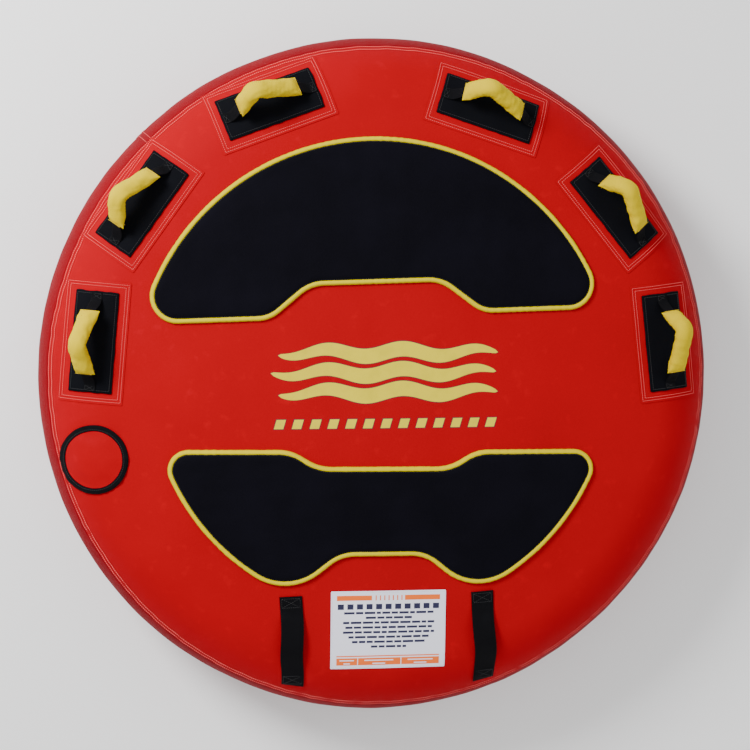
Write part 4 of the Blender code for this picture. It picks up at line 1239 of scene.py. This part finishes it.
# --- Valve --------------------------------------------------------------------------------
VALVE_COVER = np.array([0.146, 0.150])
BINDING = 13.0 * MM
BINDING_SECTION = (
    (0.5, -1.0), (1.8, -1.6), (6.0, -1.6), (11.0, -1.3), (13.3, -0.7), (13.3, 0.4),
    (12.8, 1.15), (11.0, 1.6), (6.0, 1.8), (1.8, 1.75), (0.5, 1.1), (0.0, 0.0),
)
# Name, finish, whether its corners are eased, (radius, height) outline in mm, and more settings
VALVE_PARTS = (
    ("valve_flange", "vinyl", True, ((39.0, -2.5), (39.0, -3.5), (19.9, -3.5), (19.9, -2.5)), {}),
    ("valve_base", "white_plastic", True,
     ((17.1, -0.8), (24.0, -0.8), (24.0, -2.2), (19.5, -2.2), (19.5, -26.0), (17.1, -26.0)), {}),
    ("valve_insert", "black_plastic", True,
     ((12.0, 1.2), (20.0, 1.2), (20.0, -0.4), (16.5, -0.4), (16.5, -24.0), (12.0, -24.0)),
     {"segments": 96, "ribs": 24, "rib_depth": 0.7 * MM}),
    ("valve_flapper", "rubber", False, ((2.0, -24.5), (14.0, -24.5), (14.0, -25.7), (2.0, -25.7)),
     {"closed": False}),
    ("valve_cap", "black_plastic", False,
     ((3.0, 4.0), (9.0, 4.2), (17.4, 4.2), (18.6, 3.4), (18.6, 1.8), (10.8, 1.8), (10.8, -3.0),
      (9.4, -3.0), (9.4, 1.0), (3.0, 1.0)),
     {"segments": 120, "ribs": 30, "rib_depth": 0.6 * MM, "closed": False,
      "body": "valve_cap_body"}),
)


def turned(name, place, outline, finish, segments=64, ribs=0, rib_depth=0.0, closed=True, **more):
    """Turn (radius, height) points about a place's normal; they go down the outer side."""
    origin, across, side, normal = place
    outline = np.array(outline, float)
    angles = np.arange(segments) * math.tau / segments
    radius = np.tile(outline[:, :1], (1, segments))
    if ribs:
        outer = radius > outline[:, 0].max() * 0.96
        radius = radius - outer * rib_depth * (0.5 + 0.5 * np.cos(ribs * angles))
    spokes = np.cos(angles)[:, None] * across + np.sin(angles)[:, None] * side
    points = origin + radius[:, :, None] * spokes + outline[:, 1][:, None, None] * normal
    rows = len(outline)
    faces = grid_faces(rows, segments, True, True) if closed else tube_faces(rows, segments)
    return build(name, points, flipped(faces), finish, sharp=35, **more)


def eased(corners, radius=0.35 * MM):
    """Closed turned profile with its corners rounded a little."""
    points = []
    for before, corner, after in zip(corners[-1:] + corners, corners, corners[1:] + corners[:1]):
        near = min((Vector(other) - Vector(corner)).length for other in (before, after))
        points += fillet(before, corner, after, min(radius, near * 0.35), 3)
    return points


def make_valve():
    place = frame_at(VALVE, float(tilt_at(math.hypot(*VALVE))))
    for name, finish, rounded, outline, settings in VALVE_PARTS:
        outline = [(radius * MM, height * MM) for radius, height in outline]
        turned(name, place, eased(outline) if rounded else outline, finish, **settings)


def flap_rise(plan):
    """The flap lies low at its edge and rises over the valve."""
    away = np.linalg.norm((plan - np.array(VALVE)) / VALVE_COVER, axis=1)
    rise = 0.5 + 0.5 * np.cos(math.pi * np.clip(away * 2, 0, 1))
    return 3.4 * MM + 5.6 * MM * rise + 0.35 * MM * waves(plan, 0.035, 21)


def make_valve_cover():
    size = [float(s) - 2 * BINDING + 6 * MM for s in VALVE_COVER]
    panel = resampled(placed(ellipse(*size), VALVE_PLACE), 4 * MM)
    body = "valve_cover_flap"
    flap = fabric("valve_cover", panel, lambda plan, depth: flap_rise(plan) + 0.6 * MM,
                  lambda plan, depth: flap_rise(plan) - 0.6 * MM, "red", spacing=6 * MM,
                  edge=(1 * MM, 3 * MM), body=body)
    pitch = 3 * MM
    rim = resampled(placed(ellipse(*VALVE_COVER), VALVE_PLACE), pitch)
    length = np.arange(len(rim))[:, None] * pitch
    ruffle = 0.35 * MM * waves(length, 0.016, 31) + 0.5 * MM * waves(length, 0.06, 32)

    def lift_at(plan, across, up):
        return flap_rise(plan) + up + ruffle * (0.4 + (across < 1))

    hem = rolled_rim("valve_cover_binding", rim, pitch, 2.0 * MM, BINDING_SECTION, lift_at,
                     "webbing", body=body)
    line = looped(resampled(inset(rim, 9.3 * MM), pitch))
    row = deck(line, flap_rise(line) + 1.55 * MM)
    thread = stitches("valve_cover_stitches", [row], "black_thread", body=body)


# --- Zipper -------------------------------------------------------------------------------
ZIP_TILT = math.radians(115.3)
ZIP_HALF_ANGLE = math.radians(19.0)
ZIP_START = 0.008
ZIP_HALF_WIDTH = 19 * MM / ROLL
ZIP_ROWS = (-17.0, -13.5, 13.5, 17.0)
STERN = -math.pi / 2
TOOTH_PITCH = 2.1 * MM
TOOTH_RING = ((-1, 0.0), (-1, 1.5), (-0.55, 2.1), (0.55, 2.1), (1, 1.5), (1, 0.0))


def make_zipper():
    azimuths = STERN + np.linspace(-ZIP_HALF_ANGLE, ZIP_HALF_ANGLE, 150)
    tilts = ZIP_TILT + np.linspace(-ZIP_HALF_WIDTH, ZIP_HALF_WIDTH, 20)
    strip_on_skin("zipper_tape", azimuths, tilts, 0.2 * MM, 1.2 * MM, "webbing")
    rows = [ring_row(ZIP_TILT + reach * MM / ROLL, 1.25 * MM, azimuths[0] + 0.004,
                     azimuths[-1] - 0.004) for reach in ZIP_ROWS]
    rows += [skin(end, np.linspace(tilts[0] + 0.012, tilts[-1] - 0.012, 12), 1.25 * MM)
             for end in (azimuths[0] + 0.005, azimuths[-1] - 0.005)]
    stitches("zipper_stitches", rows, "thread")
    make_zipper_teeth()
    for node, body in (("zipper_slider", "zipper_slider_body"), ("zipper_pull", "zipper_pull_tab")):
        make_softened(node, body)


def make_zipper_teeth():
    """Two interlocked rows of moulded teeth."""
    radius = float(profile(np.array(ZIP_TILT))[0])
    count = int(2 * (ZIP_HALF_ANGLE - ZIP_START) * radius / TOOTH_PITCH)
    azimuth = STERN - ZIP_HALF_ANGLE + ZIP_START + np.arange(count) * TOOTH_PITCH / radius
    side = np.where(np.arange(count) % 2 == 0, 1.0, -1.0)
    centre, normal = skin(azimuth, ZIP_TILT, 1.2 * MM)
    out = np.stack([-np.sin(azimuth), np.cos(azimuth), 0 * azimuth], 1)
    across = cross(normal, out) * side[:, None]
    corners = [centre + across * far * MM + out * half * MM * way + normal * lift * MM
               for far, half in ((-1.0, 0.85), (3.7, 0.62)) for way, lift in TOOTH_RING]
    one = flipped(tube_faces(2, 6))
    faces = [face for k in range(count)
             for face in shifted(flipped(one) if side[k] < 0 else one, 12 * k)]
    build("zipper_chain", np.stack(corners, 1), faces, "black_plastic", sharp=30)


def make_softened(node, body):
    """Brass copy of a CAD node with its edges eased; the node itself is hidden."""
    shape = bmesh.new()
    shape.from_mesh(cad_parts[node].data)
    bmesh.ops.remove_doubles(shape, verts=shape.verts, dist=0.01 * MM)
    bmesh.ops.dissolve_limit(shape, angle_limit=math.radians(2), verts=shape.verts,
                             edges=shape.edges)
    sharp = [e for e in shape.edges if len(e.link_faces) == 2 and e.calc_face_angle(0) > 0.5]
    bmesh.ops.bevel(shape, geom=sharp, offset=0.35 * MM, segments=2, profile=0.6, affect='EDGES',
                    clamp_overlap=True)
    mesh = bpy.data.meshes.new(node + "_eased")
    shape.to_mesh(mesh)
    shape.free()
    finished(node + "_eased", node, mesh, "brass", body, 40)


# --- Tow point ----------------------------------------------------------------------------
BOW = math.pi / 2
TOW_HINGE = math.radians(116.0)
TOW_PATCH_WIDTH = 180 * MM
TOW_PATCH_TILTS = (90.3, 126.8)
ANCHOR_WIDTH = 49 * MM
ANCHOR_TILTS = (97.5, 115.0)
TOW_LOOP_LENGTH = 72 * MM


def skin_rows(lines, lift):
    return [skin(line[:, 0], line[:, 1], lift) for line in lines]


def make_tow_point():
    half = TOW_PATCH_WIDTH / 2 / TUBE_RADIUS
    azimuths = BOW + np.linspace(-half, half, 40)
    tilts = np.radians(np.linspace(*TOW_PATCH_TILTS, 30))
    patch = strip_on_skin("tow_patch", azimuths, tilts, 0.3 * MM, 1.7 * MM, "webbing")
    lines = []
    for margin in (5 * MM, 10 * MM):
        side, lean = margin / TUBE_RADIUS, margin / ROLL
        lines.append(looped(kept_corners(bar(azimuths[0] + side, azimuths[-1] - side,
                                             tilts[0] + lean, tilts[-1] - lean), 0.012)))
    thread = stitches("tow_patch_stitches", skin_rows(lines, 1.75 * MM), "thread")

    half = ANCHOR_WIDTH / 2 / TUBE_RADIUS
    strip_on_skin("tow_anchor", BOW + np.linspace(-half, half, 16),
                  np.radians(np.linspace(*ANCHOR_TILTS, 20)), 2.0 * MM, 5.2 * MM, "webbing")
    lines = box_and_cross((BOW, math.radians(104.75)), (1, 0), (0, 1), 38 * MM / TUBE_RADIUS,
                          math.radians(11.5))
    lines = [resampled(line, 0.01, closed=False) for line in lines]
    stitches("tow_anchor_stitches", skin_rows(lines, 5.3 * MM), "thread", slot="black_webbing",
             radius=0.7 * MM)
    make_tow_loop()


def make_tow_loop():
    """Webbing doubled into an eye; it bends out of the anchor and hangs."""
    radius, height = (float(a) for a in profile(np.array(TOW_HINGE), 6 * MM))
    half = 7.0 * MM
    right = [(1.0 * MM, 10 * MM), (1.6 * MM, 2 * MM), (3.2 * MM, -8 * MM), (half, -18 * MM),
             (half, 9 * MM - TOW_LOOP_LENGTH)]
    bight = arc((0.0, half + 1.5 * MM - TOW_LOOP_LENGTH), half, 0.0, -math.pi, 12)[1:-1]
    left = [(-x, y) for x, y in reversed(right)]
    flat = smooth(np.array(right + bight + left), 5)
    line = np.stack([0 * flat[:, 0], radius + flat[:, 0], height + flat[:, 1]], 1)
    sides = np.tile(np.array([1.0, 0.0, 0.0]), (len(line), 1))
    loop = swept("tow_loop", line, cross(sides, tangents(line)), sides,
                 flat_section(48 * MM, 2.6 * MM, 8), "webbing", body=None)
    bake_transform(loop)


# --- Drain grommets -----------------------------------------------------------------------
GROMMET_RING = ((12.0, 0.2), (12.3, 1.6), (13.6, 2.4), (16.5, 2.2), (19.2, 1.3), (20.0, 0.5),
                (20.0, 0.2))
WIRE_RING = ((-0.25, -0.2), (0.25, -0.2), (0.25, 0.25), (-0.25, 0.25))
WIRE_REACH = 11.8 * MM
WIRE_PITCH = 2.4 * MM
DRAIN_PLACE = (0.660, -0.030)


def make_grommets():
    for name, side in (("port", -1), ("starboard", 1)):
        plan = np.array([side * DRAIN_PLACE[0], DRAIN_PLACE[1]])
        tilt = math.pi - math.asin((np.linalg.norm(plan) - ROLL_R) / ROLL)
        place = frame_at(plan, tilt)
        ring = [(radius * MM, height * MM) for radius, height in GROMMET_RING]
        turned("drain_grommet_" + name, place, ring, "brass")
        make_drain_mesh("drain_mesh_" + name, *place)


def make_drain_mesh(name, origin, across, side, normal):
    """Crossed wires that keep weed out of the cover."""
    points, faces = [], []
    for way, other in ((across, side), (side, across)):
        for offset in np.arange(-4, 5) * WIRE_PITCH:
            half = math.sqrt(WIRE_REACH ** 2 - offset ** 2)
            faces += shifted(tube_faces(2, 4), len(points))
            points += [origin + way * end + other * (offset + a * MM) + normal * (b + 0.6) * MM
                       for end in (-half, half) for a, b in WIRE_RING]
    build(name, points, faces, "black_plastic")


# --- Everything ---------------------------------------------------------------------------
def finish_hidden_nodes():
    """Inner pieces keep their CAD shape and get real materials."""
    for name in ("bladder", "bladder_baffles"):
        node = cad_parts[name]
        node.data.materials.clear()
        node.data.materials.append(FINISH["vinyl"])


make_camera()
make_studio()
FINISH = make_finishes()
make_cover_top()
make_side_band()
make_cover_bottom()
make_body_pads()
make_handles()
make_boarding_straps()
make_label()
make_deck_print()
make_valve()
make_valve_cover()
make_zipper()
make_tow_point()
make_grommets()
finish_hidden_nodes()
